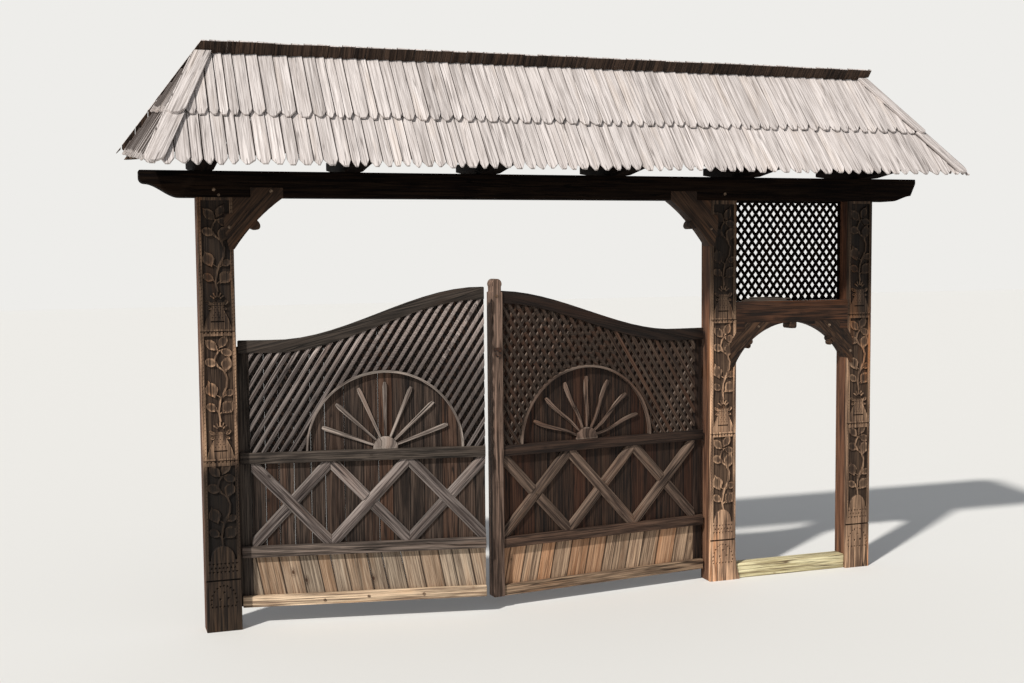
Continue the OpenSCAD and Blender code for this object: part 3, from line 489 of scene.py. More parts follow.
woodLooks = {
    "post": stain((44, 31, 24), (122, 98, 78), (128, 82, 48), (16, 10, 7), (34, 23, 16), warmth=0.55,
                  spread=0.1, knots=0.15, sunk=0.82, contrast=2.2,
                  sides=(paint(52, 31, 22), paint(112, 72, 50)), sunkFrom=(0.002, 0.0085),
                  sunkTo=(0.018, 0.022), sidesFrom=(0.021, 0.026)),
    # near black: the old beam's dark colour, darkened further as painted shade under the eave; the cross
    # bearers and the wicket's lattice share it
    "lintel": stain((6, 3, 3), (29, 20, 14), (33, 20, 11), (2, 1, 1), (5, 3, 2), spread=0.2, contrast=2.4,
                    gloss=0.05, rough=0.85),
    "brace": stain((28, 18, 12), (77, 56, 41), (85, 53, 31), (7, 4, 3), (16, 9, 6), warmth=0.5, spread=0.25,
                   knots=0.2),
    "transom": stain((20, 12, 8), (76, 50, 35), (90, 53, 29), (6, 3, 2), (14, 8, 5), warmth=0.7, spread=0.1,
                     knots=0.6, contrast=3.4),
    "sill": stain((166, 151, 112), (240, 231, 190), (212, 185, 132), (85, 66, 49), (120, 92, 64),
                  spread=0.1),
    "frame": stain((40, 28, 20), (92, 68, 48), (104, 74, 48), (18, 12, 8), (26, 18, 12),
                   cell=(0.9, 9.0, 9.0)),
    "shingle": stain((160, 150, 145), (239, 231, 228), (194, 176, 160), (58, 47, 42), (124, 107, 99),
                     warmth=0.3, spread=0.2, knots=0.1, fine=1.3, relief=0.6, edge=0.85, figure=0.1,
                     contrast=1.3, cracks=0.55, lines=0.35),
    # the shingles' underside: unweathered brown, darkened further as painted shade
    "underside": stain((30, 22, 18), (88, 70, 58), (70, 50, 38), (12, 8, 6), (24, 16, 12), spread=0.5,
                       knots=0.1),
    "leftRail": stain((34, 28, 24), (89, 79, 71), (65, 47, 35), (10, 7, 5), (26, 19, 14), spread=0.2),
    "leftTop": stain((26, 21, 18), (73, 64, 57), (52, 37, 27), (7, 5, 3), (20, 14, 10), spread=0.2),
    # the meeting stiles: paler than the rails, painted sunlight
    "stile": stain((61, 47, 40), (153, 126, 110), (124, 84, 62), (21, 16, 11), (43, 34, 26), spread=0.2),
    "leftLow": stain((54, 45, 40), (132, 117, 107), (98, 73, 56), (20, 15, 11), (43, 33, 26), spread=0.2),
    # the left lattice's front slats: painted shade low down and painted sunlight near the top, by height, and
    # a painted highlight on their edges
    "leftSlat": stain((74, 65, 62), (147, 135, 129), (113, 92, 82), (29, 23, 22), (51, 41, 38), knots=0.1,
                      fine=1.3, contrast=2.4, heights=((1.3, 0.6), (1.75, 0.86), (2.15, 2.0)), worn=0.6,
                      pale=paint(186, 178, 174)),
    # the left lattice's rear slats: near black, painted shade cast by the front slats
    "leftUnder": stain((12, 8, 6), (38, 28, 23), (33, 20, 13), (3, 3, 1), (8, 5, 3), knots=0.1),
    "leftBatten": stain((64, 54, 50), (140, 128, 122), (106, 84, 71), (22, 15, 14), (35, 24, 19),
                        spread=0.6, knots=0.8, knotAlong=4.5, knotAcross=7.5, worn=0.4,
                        pale=paint(166, 157, 149)),
    "leftRay": stain((79, 68, 62), (170, 156, 146), (130, 102, 86), (29, 22, 19), (45, 31, 26), knots=0.8,
                     knotAlong=4.5, knotAcross=7.5, worn=0.4, pale=paint(196, 184, 172)),
    "leftBoard": stain((32, 23, 18), (81, 67, 58), (80, 49, 30), (10, 6, 5), (23, 14, 9), warmth=0.25,
                       spread=0.6, mixed=0.4, contrast=2.7, knots=0.7, edge=0.75),
    "leftSkirt": stain((90, 72, 59), (189, 170, 148), (162, 120, 83), (36, 26, 21), (69, 45, 30),
                       warmth=0.25, spread=0.5, mixed=0.4, contrast=1.8, knots=0.9, edge=0.9, lines=0.35,
                       cracks=0.6, figure=0.1),
    "leftSill": stain((152, 126, 103), (250, 221, 187), (226, 176, 129), (68, 52, 42), (117, 84, 62),
                      spread=0.2),
    "rightRail": stain((22, 14, 10), (63, 47, 38), (60, 35, 22), (6, 3, 3), (15, 8, 6), spread=0.25),
    "rightTop": stain((15, 9, 6), (48, 35, 28), (46, 26, 15), (4, 2, 2), (9, 5, 4), spread=0.25),
    "rightLow": stain((40, 28, 22), (100, 77, 63), (96, 59, 40), (14, 9, 7), (30, 19, 15), spread=0.25),
    "rightSlat": stain((37, 27, 22), (84, 70, 60), (89, 58, 41), (11, 6, 4), (24, 15, 11), knots=0.1,
                       fine=1.3, spread=0.3, mixed=0.45, worn=0.75, pale=paint(112, 94, 81)),
    "rightUnder": stain((39, 30, 25), (89, 74, 64), (95, 64, 45), (12, 8, 6), (27, 17, 12), knots=0.1,
                        fine=1.3, spread=0.5, worn=0.9, pale=paint(141, 126, 116)),
    "rightBatten": stain((50, 37, 31), (122, 102, 88), (109, 74, 51), (18, 11, 8), (31, 20, 14), knots=0.7,
                         knotAlong=4.5, knotAcross=7.5, worn=0.35, pale=paint(142, 122, 106)),
    "rightRay": stain((52, 39, 32), (127, 105, 92), (114, 77, 53), (19, 12, 9), (32, 21, 15), knots=0.7,
                      knotAlong=4.5, knotAcross=7.5, worn=0.5, pale=paint(166, 148, 134)),
    "rightBoard": stain((23, 14, 10), (61, 45, 35), (66, 35, 20), (6, 3, 2), (15, 8, 5), warmth=0.25,
                        spread=0.5, mixed=0.4, contrast=2.8, edge=0.75),
    "rightSkirt": stain((94, 72, 58), (207, 176, 146), (185, 126, 82), (38, 27, 20), (72, 48, 32),
                        warmth=0.25, spread=0.5, mixed=0.5, contrast=1.85, knots=0.8, edge=0.9, lines=0.35,
                        cracks=0.6, figure=0.1),
    "rightSill": stain((96, 76, 61), (172, 145, 119), (154, 113, 78), (41, 30, 23), (76, 53, 38),
                       spread=0.2),
    "peg": stain((70, 54, 42), (142, 120, 100), (120, 84, 56), (26, 18, 14), (40, 28, 20), knots=0.0),
}
# brightness by height on the posts: painted roof shadow near the top and painted sunlight over the middle;
# the feet of the middle and right posts paler, bleached; the left post darker low down
postHeights = {
    "left_post": ((0.2, 0.3), (1.1, 0.3), (1.35, 2.7), (2.0, 2.7), (2.2, 0.75)),
    "middle_post": ((0.1, 4.9), (0.5, 4.0), (1.1, 3.4), (1.3, 4.2), (1.95, 4.0), (2.25, 0.7)),
    "right_post": ((0.1, 3.1), (0.5, 2.4), (1.9, 2.4), (2.2, 0.6)),
}
for node, heights in postHeights.items():
    woodLooks[node] = dict(woodLooks["post"], heights=heights)
finish = {name: woodMaterial(name, look) for name, look in woodLooks.items() if name not in ("frame", "post")}
finish["iron"] = ironMaterial("iron")
print("materials made:", len(finish))


def coat(obj, *names):
    obj.data.materials.clear()
    for name in names:
        obj.data.materials.append(finish[name])


def hand(obj, material, body, slot, *nodes):      # the nodes are those that the piece stands for
    if material:
        coat(obj, material)
    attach(obj, body)
    if nodes:
        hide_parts(*nodes)
    return obj


def grained(parts, name, along=None, angle=30):
    for part in parts:
        setGrain(part, along)
    return smooth(joined(parts, name), angle)


def refinished(node, name, material, body, slot, edge):      # a node of the right shape, with worn edges
    obj = takeNode(node, name)
    if edge:
        softenEdges(obj, edge)
    return hand(grained(looseParts(obj), name, None, 30 if edge else 12), material, body, slot, node)


# the roof: loose shingles in two courses on each slope, their back course standing past the ridge

roof = {
    "pitch": math.radians(48.5),
    "ridgeUp": 1.020,          # above the lintel's underside
    "leftInset": 0.015, "rightInset": 0.038,      # the ridge stops this far inside the posts' outer faces
    "frontSlope": 1.085, "backSlope": 0.890,
    "frontUpper": 0.640, "backUpper": 0.530,
    "lap": 0.120,
    "ridgeProud": 0.088,
    "ridgeOver": 0.022,
    "leftHipRun": 0.395, "rightHipRun": 0.500, "backHipRun": 0.515,
    "thick": 0.021,
    "shingleWidth": 0.085,
    "widthSpread": 0.28,       # shingles are up to this much wider or narrower
    "lengthSpread": 0.014,
    "tipLength": 0.052, "tipSpread": (0.7, 1.2),
    "tips": ((0.30, 0.0), (0.40, 0.05), (0.24, -0.06), (0.36, 0.08), (0.46, -0.03), (0.2, 0.04)),
                               # how much of a tip is flat, and how far it lies off the middle
    "wedge": 0.011,            # how far a shingle's right edge stands proud of its left one
    "joint": 0.005,
    "sag": 0.003, "twist": 0.45, "rock": 0.25,      # how unevenly a shingle lies, in metres and degrees
    "backWidth": 1.25, "backUneven": 0.006,         # the boards of the back upper course
    "backGaps": (-0.001, -0.001, -0.001, 0.001, 0.001, 0.002, 0.006),
}

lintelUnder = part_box("lintel")[0].z
ridgeZ = lintelUnder + roof["ridgeUp"]
ridgeA = Vector((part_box("left_post")[0].x + roof["leftInset"], 0, ridgeZ))
ridgeB = Vector((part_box("right_post")[1].x - roof["rightInset"], 0, ridgeZ))
run, rise = math.cos(roof["pitch"]), math.sin(roof["pitch"])
frontUp, frontOut = Vector((0, run, rise)), Vector((0, -rise, run))
backUp, backOut = Vector((0, -run, rise)), Vector((0, rise, run))


def hipPlane(way, frontRun):      # outward normal, up-slope direction and slope length of a hip
    front = frontUp * -roof["frontSlope"] + Vector((way * frontRun, 0, 0))
    back = backUp * -roof["backSlope"] + Vector((way * roof["backHipRun"], 0, 0))
    out = front.cross(back - front).normalized() * way
    up = (back - front).cross(out).normalized() * -way
    return out, up, -front.dot(up)


leftOut, leftUp, leftSlope = hipPlane(-1, roof["leftHipRun"])
rightOut, rightUp, rightSlope = hipPlane(1, roof["rightHipRun"])


def shingle(length, tip, flat, lean):      # its foot lies at y = 0 and its weather side at z = 0
    width = roof["shingleWidth"]
    obj = block((-width / 2, 0, -roof["thick"]), (width / 2, length, 0), "shingle")
    left = (0.5 * (1 - flat) + lean) * width
    right = width - left - flat * width
    cutAway(obj, (-width / 2 + left, 0, 0), (-tip * dice.uniform(*roof["tipSpread"]), -left, 0))
    cutAway(obj, (width / 2 - right, 0, 0), (tip * dice.uniform(*roof["tipSpread"]), -right, 0))
    for x in (-width / 2, -width / 2 + left, width / 2 - right):      # sinks its left edge
        pull(obj, lambda co: co.z > -roof["thick"] / 2 and abs(co.x - x) < 0.001,
             move=(0, 0, -roof["wedge"] * (0.5 - x / width)))
    return softenEdges(obj, 0.0015, 1, 40)


def slopeMatrix(origin, up, out):
    side = up.cross(out)
    return Matrix([(side[i], up[i], out[i], origin[i]) for i in range(3)] + [(0, 0, 0, 1)])


def layCourse(name, origin, up, out, top, bottom, depth, reach, planes,
              width=1.0, gaps=(roof["joint"],), uneven=0.0):
    patterns = [shingle(bottom - top, roof["tipLength"], flat, lean) for flat, lean in roof["tips"]]
    toSlope = slopeMatrix(origin, up, out)
    pieces = []
    place = -reach
    while place < reach:
        across = roof["shingleWidth"] * width * (1 + roof["widthSpread"] * dice.uniform(-1, 1))
        high = -top - uneven * dice.random()
        low = -bottom + roof["lengthSpread"] * dice.random()
        size = ((across - dice.choice(gaps)) / roof["shingleWidth"], (high - low) / (bottom - top), 1, 1)
        local = (Matrix.Translation((place + across / 2, high, -depth - roof["sag"] * dice.random()))
                 @ Matrix.Rotation(math.radians(roof["twist"]) * dice.uniform(-1, 1), 4, "Z")
                 @ Matrix.Rotation(math.radians(roof["rock"]) * dice.random(), 4, "X")
                 @ Matrix.Diagonal(size)
                 @ Matrix.Translation((0, top - bottom, 0)))
        piece = twin(dice.choice(patterns), local, name)
        setGrain(piece, (0, 1, 0), (place + across / 2, -bottom, -depth))
        piece.data.transform(toSlope)
        pieces.append(piece)
        place += across
    discard(*patterns)
    obj = joined(pieces, name)
    for point, normal in planes:
        cutAway(obj, point, normal)
    return obj


def twoFaced(obj, out):      # weathered above; brown below, where the wood is unweathered, and darkened further as painted shade
    coat(obj, "shingle", "underside")
    for face in obj.data.polygons:
        face.material_index = 1 if face.normal.dot(out) < -0.5 else 0


roofMiddle = (ridgeA + ridgeB) / 2
halfRoof = (ridgeB - ridgeA).length / 2 + roof["backHipRun"] + 0.1
skin = 2 * roof["thick"]
roofEnds = [((cadBox[1][0] - 0.001, 0, 0), (1, 0, 0)), ((cadBox[0][0] + 0.001, 0, 0), (-1, 0, 0))]
hips = [(ridgeA, leftOut), (ridgeB, rightOut)] + roofEnds
underFront = (ridgeA - backOut * roof["thick"], backOut)

for name, up, out, top, bottom, depth, extra in (
        ("front_upper", frontUp, frontOut, 0.0, roof["frontUpper"], 0.0, [underFront]),
        ("front_lower", frontUp, frontOut, roof["frontUpper"] - roof["lap"], roof["frontSlope"],
         roof["thick"], []),
        ("back_lower", backUp, backOut, roof["backUpper"] - roof["lap"], roof["backSlope"],
         roof["thick"], [])):
    course = layCourse(name + "_shingles", roofMiddle, up, out, top, bottom, depth, halfRoof, hips + extra)
    twoFaced(course, out)
    hand(course, None, "gate_frame", "grey_shingle_wood", name + "_course")

# the back upper boards are wider, with a slit here and there, and square at their right end above the ridge
backBoards = layCourse("back_upper_shingles", roofMiddle, backUp, backOut, -roof["ridgeProud"],
                       roof["backUpper"], 0.0, halfRoof, [(ridgeA, leftOut)] + roofEnds,
                       roof["backWidth"], roof["backGaps"], roof["backUneven"])
proud = twin(backBoards)
cutAway(proud, (0, 0, ridgeZ), (0, 0, -1))
cutAway(proud, (ridgeB.x + roof["ridgeOver"], 0, 0), (1, 0, 0))
cutAway(backBoards, (0, 0, ridgeZ), (0, 0, 1))
cutAway(backBoards, ridgeB, rightOut)
backBoards = joined([backBoards, proud], "back_upper_shingles")
twoFaced(backBoards, backOut)
hand(backBoards, None, "gate_frame", "grey_shingle_wood", "back_upper_course")

for side, corner, out, up, slope in (("left", ridgeA, leftOut, leftUp, leftSlope),
                                     ("right", ridgeB, rightOut, rightUp, rightSlope)):
    upper = slope * roof["frontUpper"] / roof["frontSlope"]
    planes = [(ridgeA - frontOut * skin, frontOut), (ridgeA - backOut * skin, backOut)] + roofEnds
    rows = [layCourse("hipRow", corner, up, out, 0.0, upper, 0.0, 0.95, planes),
            layCourse("hipRow", corner, up, out, upper - roof["lap"], slope, roof["thick"], 0.95, planes)]
    course = joined(rows, side + "_hip_shingles_laid")
    twoFaced(course, out)
    hand(course, None, "gate_frame", "grey_shingle_wood", side + "_hip_shingles")
    refinished(side + "_hip_boards", side + "_hip_boards_laid", "shingle", "gate_frame",
               "grey_shingle_wood", 0.004)
print("roof laid")


# carved posts: a vine between borders of notches in three panels, over two pots and a dome

carving = {
    "face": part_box("middle_post")[0].y,
    "widths": {"left_post": 0.246, "middle_post": 0.230, "right_post": 0.228},
    "border": 0.026,
    "depth": 0.015,            # of the sunk field
    "notch": 0.0056, "notchDepth": 0.0075,
    "notchPitch": 0.026, "columns": (0.0082, 0.0186),      # the two columns of the border, from the edge
    "columnSize": (1.0, 1.25), "columnDeep": 1.3, "columnSpread": (0.97, 1.03),
    "teeth": 2.5, "teethPitch": 0.0265,         # the rows under the pots, in sizes of the small notch
    "chips": 2.6, "chipPitch": 0.027,           # the rows under the dome and the arch at the foot
    "chipRows": 3, "chipRowPitch": 0.029, "rowDeep": 1.9,
    "lineHigh": 0.007, "grooveDeep": 0.006, "lineDeep": 0.009, "domeHigh": 0.108,
    "leafGrowth": (1.2, 1.36), "leafShift": 0.003, "leafTurn": 6, "leafHigh": (0.85, 1.0),
    "crown": (-52, -26, 0, 26, 52),             # directions of the strokes over a pot
    "vineFoot": (2.104, 1.187, 0.288),
    "fields": ((2.128, 3.030), (1.211, 2.088), (0.478, 1.172)),
    "outerLift": (0.016, 0.023, 0.032),      # the outer posts are carved this much higher
    "groove": 0.332,
    "footDown": 0.185,         # the ornament at the foot starts this far under the groove
    "arch": 13, "archWide": 0.088, "archHigh": 0.118,
    "dots": 3.4, "dotPlaces": ((-0.026, 0.052), (0.03, 0.057), (0.002, 0.1)),
}


def leafMotif(name, blunt):      # of length, width and height 1, its stalk at the left, like a spade if blunt
    clearSelection()
    bpy.ops.mesh.primitive_circle_add(vertices=24, radius=0.5, fill_type="NGON", rotation=(math.pi / 2, 0, 0))
    obj = settle(bpy.context.object)
    obj.name = name
    narrowed = [(-0.49, -0.38, 0.7), (-0.38, -0.2, 0.86)]
    pull(obj, lambda co: co.x < -0.49, move=(-0.12, 0, 0))
    if blunt:
        pull(obj, lambda co: co.x > 0.49, move=(0.16, 0, 0))
        narrowed += [(-0.2, 0.1, 1.06), (0.3, 0.38, 0.88), (0.38, 0.49, 0.66)]
    for low, high, share in narrowed:
        pull(obj, lambda co: low < co.x < high, size=(1, 1, share))
    openMesh(obj, "FACE")
    growOut((0, -1, 0), (0.86, 1, 0.86), (0, -1, 0))
    closeMesh()
    chooseFaces(obj, lambda middle, normal: middle.y < -0.9)
    for deep, share in ((0.2, 0.82), (0.16, 0.6)):      # a hollow inside its rim
        growOut((0, deep, 0), (share, 1, share), (0, 0, 0))
    closeMesh()
    return smooth(turnOut(obj), 50)


def stemMotif(points, widths):      # a ridge along points of the field, from the root to the tip
    widths = [1.35 * wide for wide in widths]
    half = widths[0] / 2
    start = Vector((points[0][0], 0, points[0][1]))
    obj = block(start + Vector((-half, -1, -0.004)), start + Vector((half, 0, 0)), "stem")
    pull(obj, lambda co: co.y < -0.5, size=(0.45, 1, 1), about=start)
    chooseFaces(obj, lambda middle, normal: normal.z > 0.9)
    last, lastWide = start, widths[0]
    for (x, z), wide in zip(points[1:], widths[1:]):
        here = Vector((x, 0, z))
        growOut(here - last, (wide / lastWide, 1, 1), here)
        last, lastWide = here, wide
    closeMesh()
    return smooth(turnOut(obj), 50)


def potMotif():      # a bell with a slot, a neck with chips and a rim
    height = 0.024
    obj = block((-0.098, -1, 0.018), (0.098, 0, height), "pot")
    chooseFaces(obj, lambda middle, normal: normal.z > 0.9)
    for up, share in ((0.03, 0.9), (0.022, 0.93), (0.016, 0.94), (0.03, 0.82), (0.03, 0.76), (0.022, 0.8),
                      (0.02, 1.1), (0.018, 1.25)):
        height += up
        growOut((0, 0, up), (share, 1, 1), (0, 0, height))
    closeMesh()
    turnOut(obj)
    chooseFaces(obj, lambda middle, normal: normal.y < -0.9)
    bpy.ops.mesh.inset(thickness=0.007)
    bpy.ops.transform.translate(value=(0, 0.24, 0))
    closeMesh()
    cutters = [block((-0.047, -1.2, 0.073), (0.047, -0.2, 0.083), "slot"),
               block((-0.05, -1.2, 0.19), (0.05, -0.45, 0.194), "ring")]
    for z, places in ((0.106, (-0.034, -0.011, 0.011, 0.034)), (0.124, (-0.024, 0, 0.024)),
                      (0.142, (-0.012, 0.012)), (0.16, (-0.022, 0, 0.022)), (0.178, (-0.011, 0.011)),
                      (0.205, (-0.022, 0, 0.022))):
        for x in places:
            cutters.append(twin(notch, Matrix.Translation((x, -0.8, z))
                                @ Matrix.Diagonal((1.25, 105, 1.25, 1))))
    carve(turnOut(obj), joined(cutters, "chips"))
    return smooth(turnOut(obj), 40)


clearSelection()
bpy.ops.mesh.primitive_cone_add(vertices=3, radius1=carving["notch"], radius2=0, depth=carving["notchDepth"],
                                location=(0, 0.003, 0), rotation=(-math.pi / 2, 0, 0))
notch = settle(bpy.context.object)
teardrop, spade, pot = leafMotif("teardrop", False), leafMotif("spade", True), potMotif()
stroke = block((-0.5, -1, 0), (0.5, 0, 1), "stroke")
stems = [stemMotif(path, widths) for path, widths in (
    (((0.004, 0.29), (-0.006, 0.354), (0.003, 0.417), (0.018, 0.462), (0.052, 0.528), (0.058, 0.59),
      (0.036, 0.642), (-0.006, 0.674), (-0.026, 0.718), (-0.014, 0.758), (0.008, 0.79)),
     (0.018, 0.016, 0.017, 0.02, 0.017, 0.016, 0.022, 0.026, 0.016, 0.015, 0.02)),
    (((-0.004, 0.345), (-0.016, 0.36), (-0.034, 0.374)), (0.012, 0.014, 0.01)),
    (((-0.004, 0.335), (0.014, 0.352), (0.036, 0.366)), (0.012, 0.014, 0.01)),
    (((0.016, 0.45), (-0.006, 0.466), (-0.03, 0.482)), (0.014, 0.018, 0.012)),
    (((0.02, 0.455), (0.04, 0.468), (0.058, 0.478)), (0.012, 0.014, 0.01)),
    (((0.0, 0.668), (-0.02, 0.682), (-0.034, 0.69)), (0.014, 0.018, 0.012)),
    (((0.042, 0.63), (0.052, 0.642), (0.06, 0.652)), (0.014, 0.014, 0.012)))]
vineLeaves = (      # shape, middle, direction in degrees, length and width
    (teardrop, -0.054, 0.386, 152, 0.070, 0.050), (spade, 0.058, 0.386, 48, 0.082, 0.070),
    (spade, -0.050, 0.512, 112, 0.092, 0.072), (teardrop, 0.068, 0.486, 18, 0.062, 0.044),
    (teardrop, -0.051, 0.702, 160, 0.076, 0.056), (spade, 0.056, 0.690, 72, 0.090, 0.066),
    (spade, -0.044, 0.824, 138, 0.086, 0.054), (spade, 0.034, 0.846, 62, 0.084, 0.050),
    (teardrop, 0.056, 0.772, -24, 0.074, 0.050))
print("carving motifs modelled")


def carvePost(node, width):
    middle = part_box(node)[0].x + width / 2
    lifts = (0, 0, 0) if node == "middle_post" else carving["outerLift"]
    feet = [foot + lift for foot, lift in zip(carving["vineFoot"], lifts)]
    dome, groove = carving["fields"][2][0] + lifts[2], carving["groove"] + lifts[2]
    face, deep = carving["face"], carving["depth"]
    half = width / 2
    inner = half - carving["border"]
    cutters = []

    def sink(reach, low, high, depth):      # a level cut over the face
        cutters.append(block((middle - reach, face - 0.01, low), (middle + reach, face + depth, high)))

    def cut(x, z, size, spin, deepness=carving["rowDeep"]):      # one notch
        cutters.append(twin(notch, Matrix.Translation((middle + x, face, z)) @ Matrix.Rotation(spin, 4, "Y")
                            @ Matrix.Diagonal((size, deepness, size, 1))))

    def cutRow(z, count, pitch, size, *spins):      # its notches take the spins in turn
        for i in range(count):
            cut((i - (count - 1) / 2) * pitch, z, size, spins[i % len(spins)])

    sink(half + 0.01, groove, groove + carving["lineHigh"], carving["grooveDeep"])
    for (low, high), lift in zip(carving["fields"], lifts):
        sink(inner, low + lift, high + min(lift, 0.01), deep)
    for way in (-1, 1):
        for column, inset in enumerate(carving["columns"]):
            z = dome + 0.03 + column * carving["notchPitch"] / 2
            while z < carving["fields"][0][1]:
                if min(abs(z - foot - 0.004) for foot in feet[:2]) > 0.026:
                    cut(way * (half - inset), z, dice.uniform(*carving["columnSize"]),
                        dice.choice((0, math.pi)), carving["columnDeep"])
                z += carving["notchPitch"] * dice.uniform(*carving["columnSpread"])
    for foot in feet[:2]:      # the toothed lines under the pots
        sink(half + 0.01, foot + 0.005, foot + 0.005 + carving["lineHigh"], carving["lineDeep"])
        pitch = carving["teethPitch"]
        cutRow(foot, int((width - 0.008) / pitch), pitch, carving["teeth"], math.pi)
    pitch, chips = carving["chipPitch"], carving["chips"]
    for row in range(carving["chipRows"]):      # rows of notches under the dome
        count = int((width - 0.016) / pitch) - row % 2
        cutRow(dome - 0.025 - row * carving["chipRowPitch"], count, pitch, chips, math.pi * (row % 2))
    base = groove - carving["footDown"]
    for i in range(carving["arch"]):      # an arch of notches at the foot
        angle = math.radians(-4 + i * 188 / (carving["arch"] - 1))
        cut(carving["archWide"] * math.cos(angle), base + 0.03 + carving["archHigh"] * math.sin(angle),
            chips, -angle)
    cutRow(base, 7, pitch, carving["teeth"], 0, math.pi)
    for x, z in carving["dotPlaces"]:
        cut(x, base + z, carving["dots"], 0.4)
    obj = carve(takeNode(node, node + "_carved"), joined(cutters, "cutters"))

    motifs = []
    high = deep - 0.0008       # just under the face
    shift, turned = carving["leafShift"], carving["leafTurn"]

    def raised(motif, x, z, spin, long, wide, share=1.0):      # a motif that stands up from the sunk field
        size = Matrix.Diagonal((long, (high + 0.001) * share, wide, 1))
        motifs.append(twin(motif, Matrix.Translation((middle + x, face + deep + 0.001, z))
                           @ Matrix.Rotation(-spin, 4, "Y") @ size))

    for foot in feet:
        for i, stem in enumerate(stems):
            raised(stem, 0, foot, 0, 1, 1, 0.93 - 0.02 * i)
        for shape, x, z, spin, long, wide in vineLeaves:
            grow = dice.uniform(*carving["leafGrowth"])
            raised(shape, x + dice.uniform(-shift, shift), foot + z,
                   math.radians(spin + dice.uniform(-turned, turned)), long * grow, wide * grow,
                   dice.uniform(*carving["leafHigh"]))
    for foot in feet[:2]:
        raised(pot, 0, foot, 0, 1, 1)
        for spin in carving["crown"]:
            tilt = math.radians(spin)
            raised(stroke, 0.024 * math.sin(tilt), foot + 0.22 + 0.03 * math.cos(tilt), -tilt,
                   0.009, 0.034, 0.95)
        for way in (-1, 1):
            raised(teardrop, way * 0.058, foot + 0.208, math.radians(90 - way * 50), 0.05, 0.026)
            raised(teardrop, way * 0.05, foot + 0.172, math.radians(90 - way * 118), 0.04, 0.022)
    reach = inner - 0.006
    bump = disc((middle, face + deep - high / 2, dome), reach, high, 28, "dome")
    cutAway(bump, (0, 0, dome), (0, 0, -1))
    pull(bump, lambda co: True, size=(1, 1, carving["domeHigh"] / reach), about=(middle, face, dome))
    pull(bump, lambda co: co.y < face + deep - high / 2, size=(0.9, 1, 0.93), about=(middle, face, dome))
    motifs.append(bump)
    obj = joined([obj] + motifs, node + "_carved")
    setGrain(obj, (0, 0, 1), (middle, face, 0))
    hand(smooth(obj, 40), node, "gate_frame", "carved_post_wood", node)


for node, width in carving["widths"].items():
    carvePost(node, width)
discard(notch, teardrop, spade, pot, stroke, *stems)
print("posts carved")


# beams and braces

for node, look, slot, edge in (
        ("lintel", "lintel", "dark_beam_wood", 0.007),
        ("left_brace", "brace", "brace_wood", 0.006),
        ("middle_brace", "brace", "brace_wood", 0.006),
        ("wicket_left_brace", "brace", "brace_wood", 0.004),
        ("wicket_right_brace", "brace", "brace_wood", 0.004),
        ("wicket_transom", "transom", "brace_wood", 0.004),
        ("wicket_pendant", "brace", "brace_wood", 0.003),
        ("threshold", "sill", "pale_sill_wood", 0.01),
        ("cross_bearers", "lintel", "dark_beam_wood", 0.005)):
    refinished(node, node + "_worn", look, "gate_frame", slot, edge)


def laySlat(pattern, way, x, y, z, wide, thick, length):      # a copy of a slat that is 1 m long
    matrix = Matrix([(-way.z, 0, way.x, x), (0, 1, 0, y), (way.x, 0, way.z, z), (0, 0, 0, 1)])
    return setGrain(twin(pattern, matrix @ Matrix.Diagonal((wide, thick, length, 1))), way)


def slatPattern(wide, thick, narrow, edge):      # its front is narrower
    pattern = block((-wide / 2, -thick / 2, 0), (wide / 2, thick / 2, 1), "slat")
    pull(pattern, lambda co: co.y < 0, size=(narrow, 1, 1))
    return softenEdges(pattern, edge, 1, 20)


lattice = {"pitch": 0.0665, "rise": 0.090, "wide": 0.028, "thick": 0.012, "narrow": 0.6, "round": 0.001,
           "spread": (0.92, 1.04), "edge": 0.014}


def wicketLattice():
    low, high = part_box("wicket_lattice")
    angle = math.atan2(lattice["rise"], lattice["pitch"])
    thick, edge = lattice["thick"], lattice["edge"]
    pattern = slatPattern(lattice["wide"], thick, lattice["narrow"], lattice["round"])
    length = (high.z - low.z) / math.sin(angle) + 0.08
    past = 0.7                 # slats start this far outside, for their lean
    parts = []
    for lean, depth in ((1, low.y + thick / 2), (-1, high.y - thick / 2)):
        way = Vector((math.cos(angle) * lean, 0, math.sin(angle)))
        x = low.x - past if lean > 0 else low.x
        slats = []
        while x < high.x + (0 if lean > 0 else past):
            slats.append(laySlat(pattern, way, x, depth, low.z - 0.03, dice.uniform(*lattice["spread"]),
                                 1, length))
            x += lattice["pitch"]
        layer = joined(slats, "slats")
        for point, normal in ((low, (-1, 0, 0)), (low, (0, 0, -1)), (high, (1, 0, 0)), (high, (0, 0, 1))):
            cutAway(layer, point, normal)
        parts.append(layer)
    discard(pattern)
    for first, last in (((low.x, low.z), (high.x, low.z + edge)), ((low.x, high.z - edge), (high.x, high.z)),
                        ((low.x, low.z), (low.x + edge, high.z)), ((high.x - edge, low.z), (high.x, high.z))):
        parts.append(setGrain(block((first[0], low.y, first[1]), (last[0], high.y, last[1]))))
    # the wicket's slats take the lintel's near-black look, painted shade under the roof
    hand(smooth(joined(parts, "wicket_slats")), "lintel", "gate_frame", "dark_lattice_wood", "wicket_lattice")


wicketLattice()

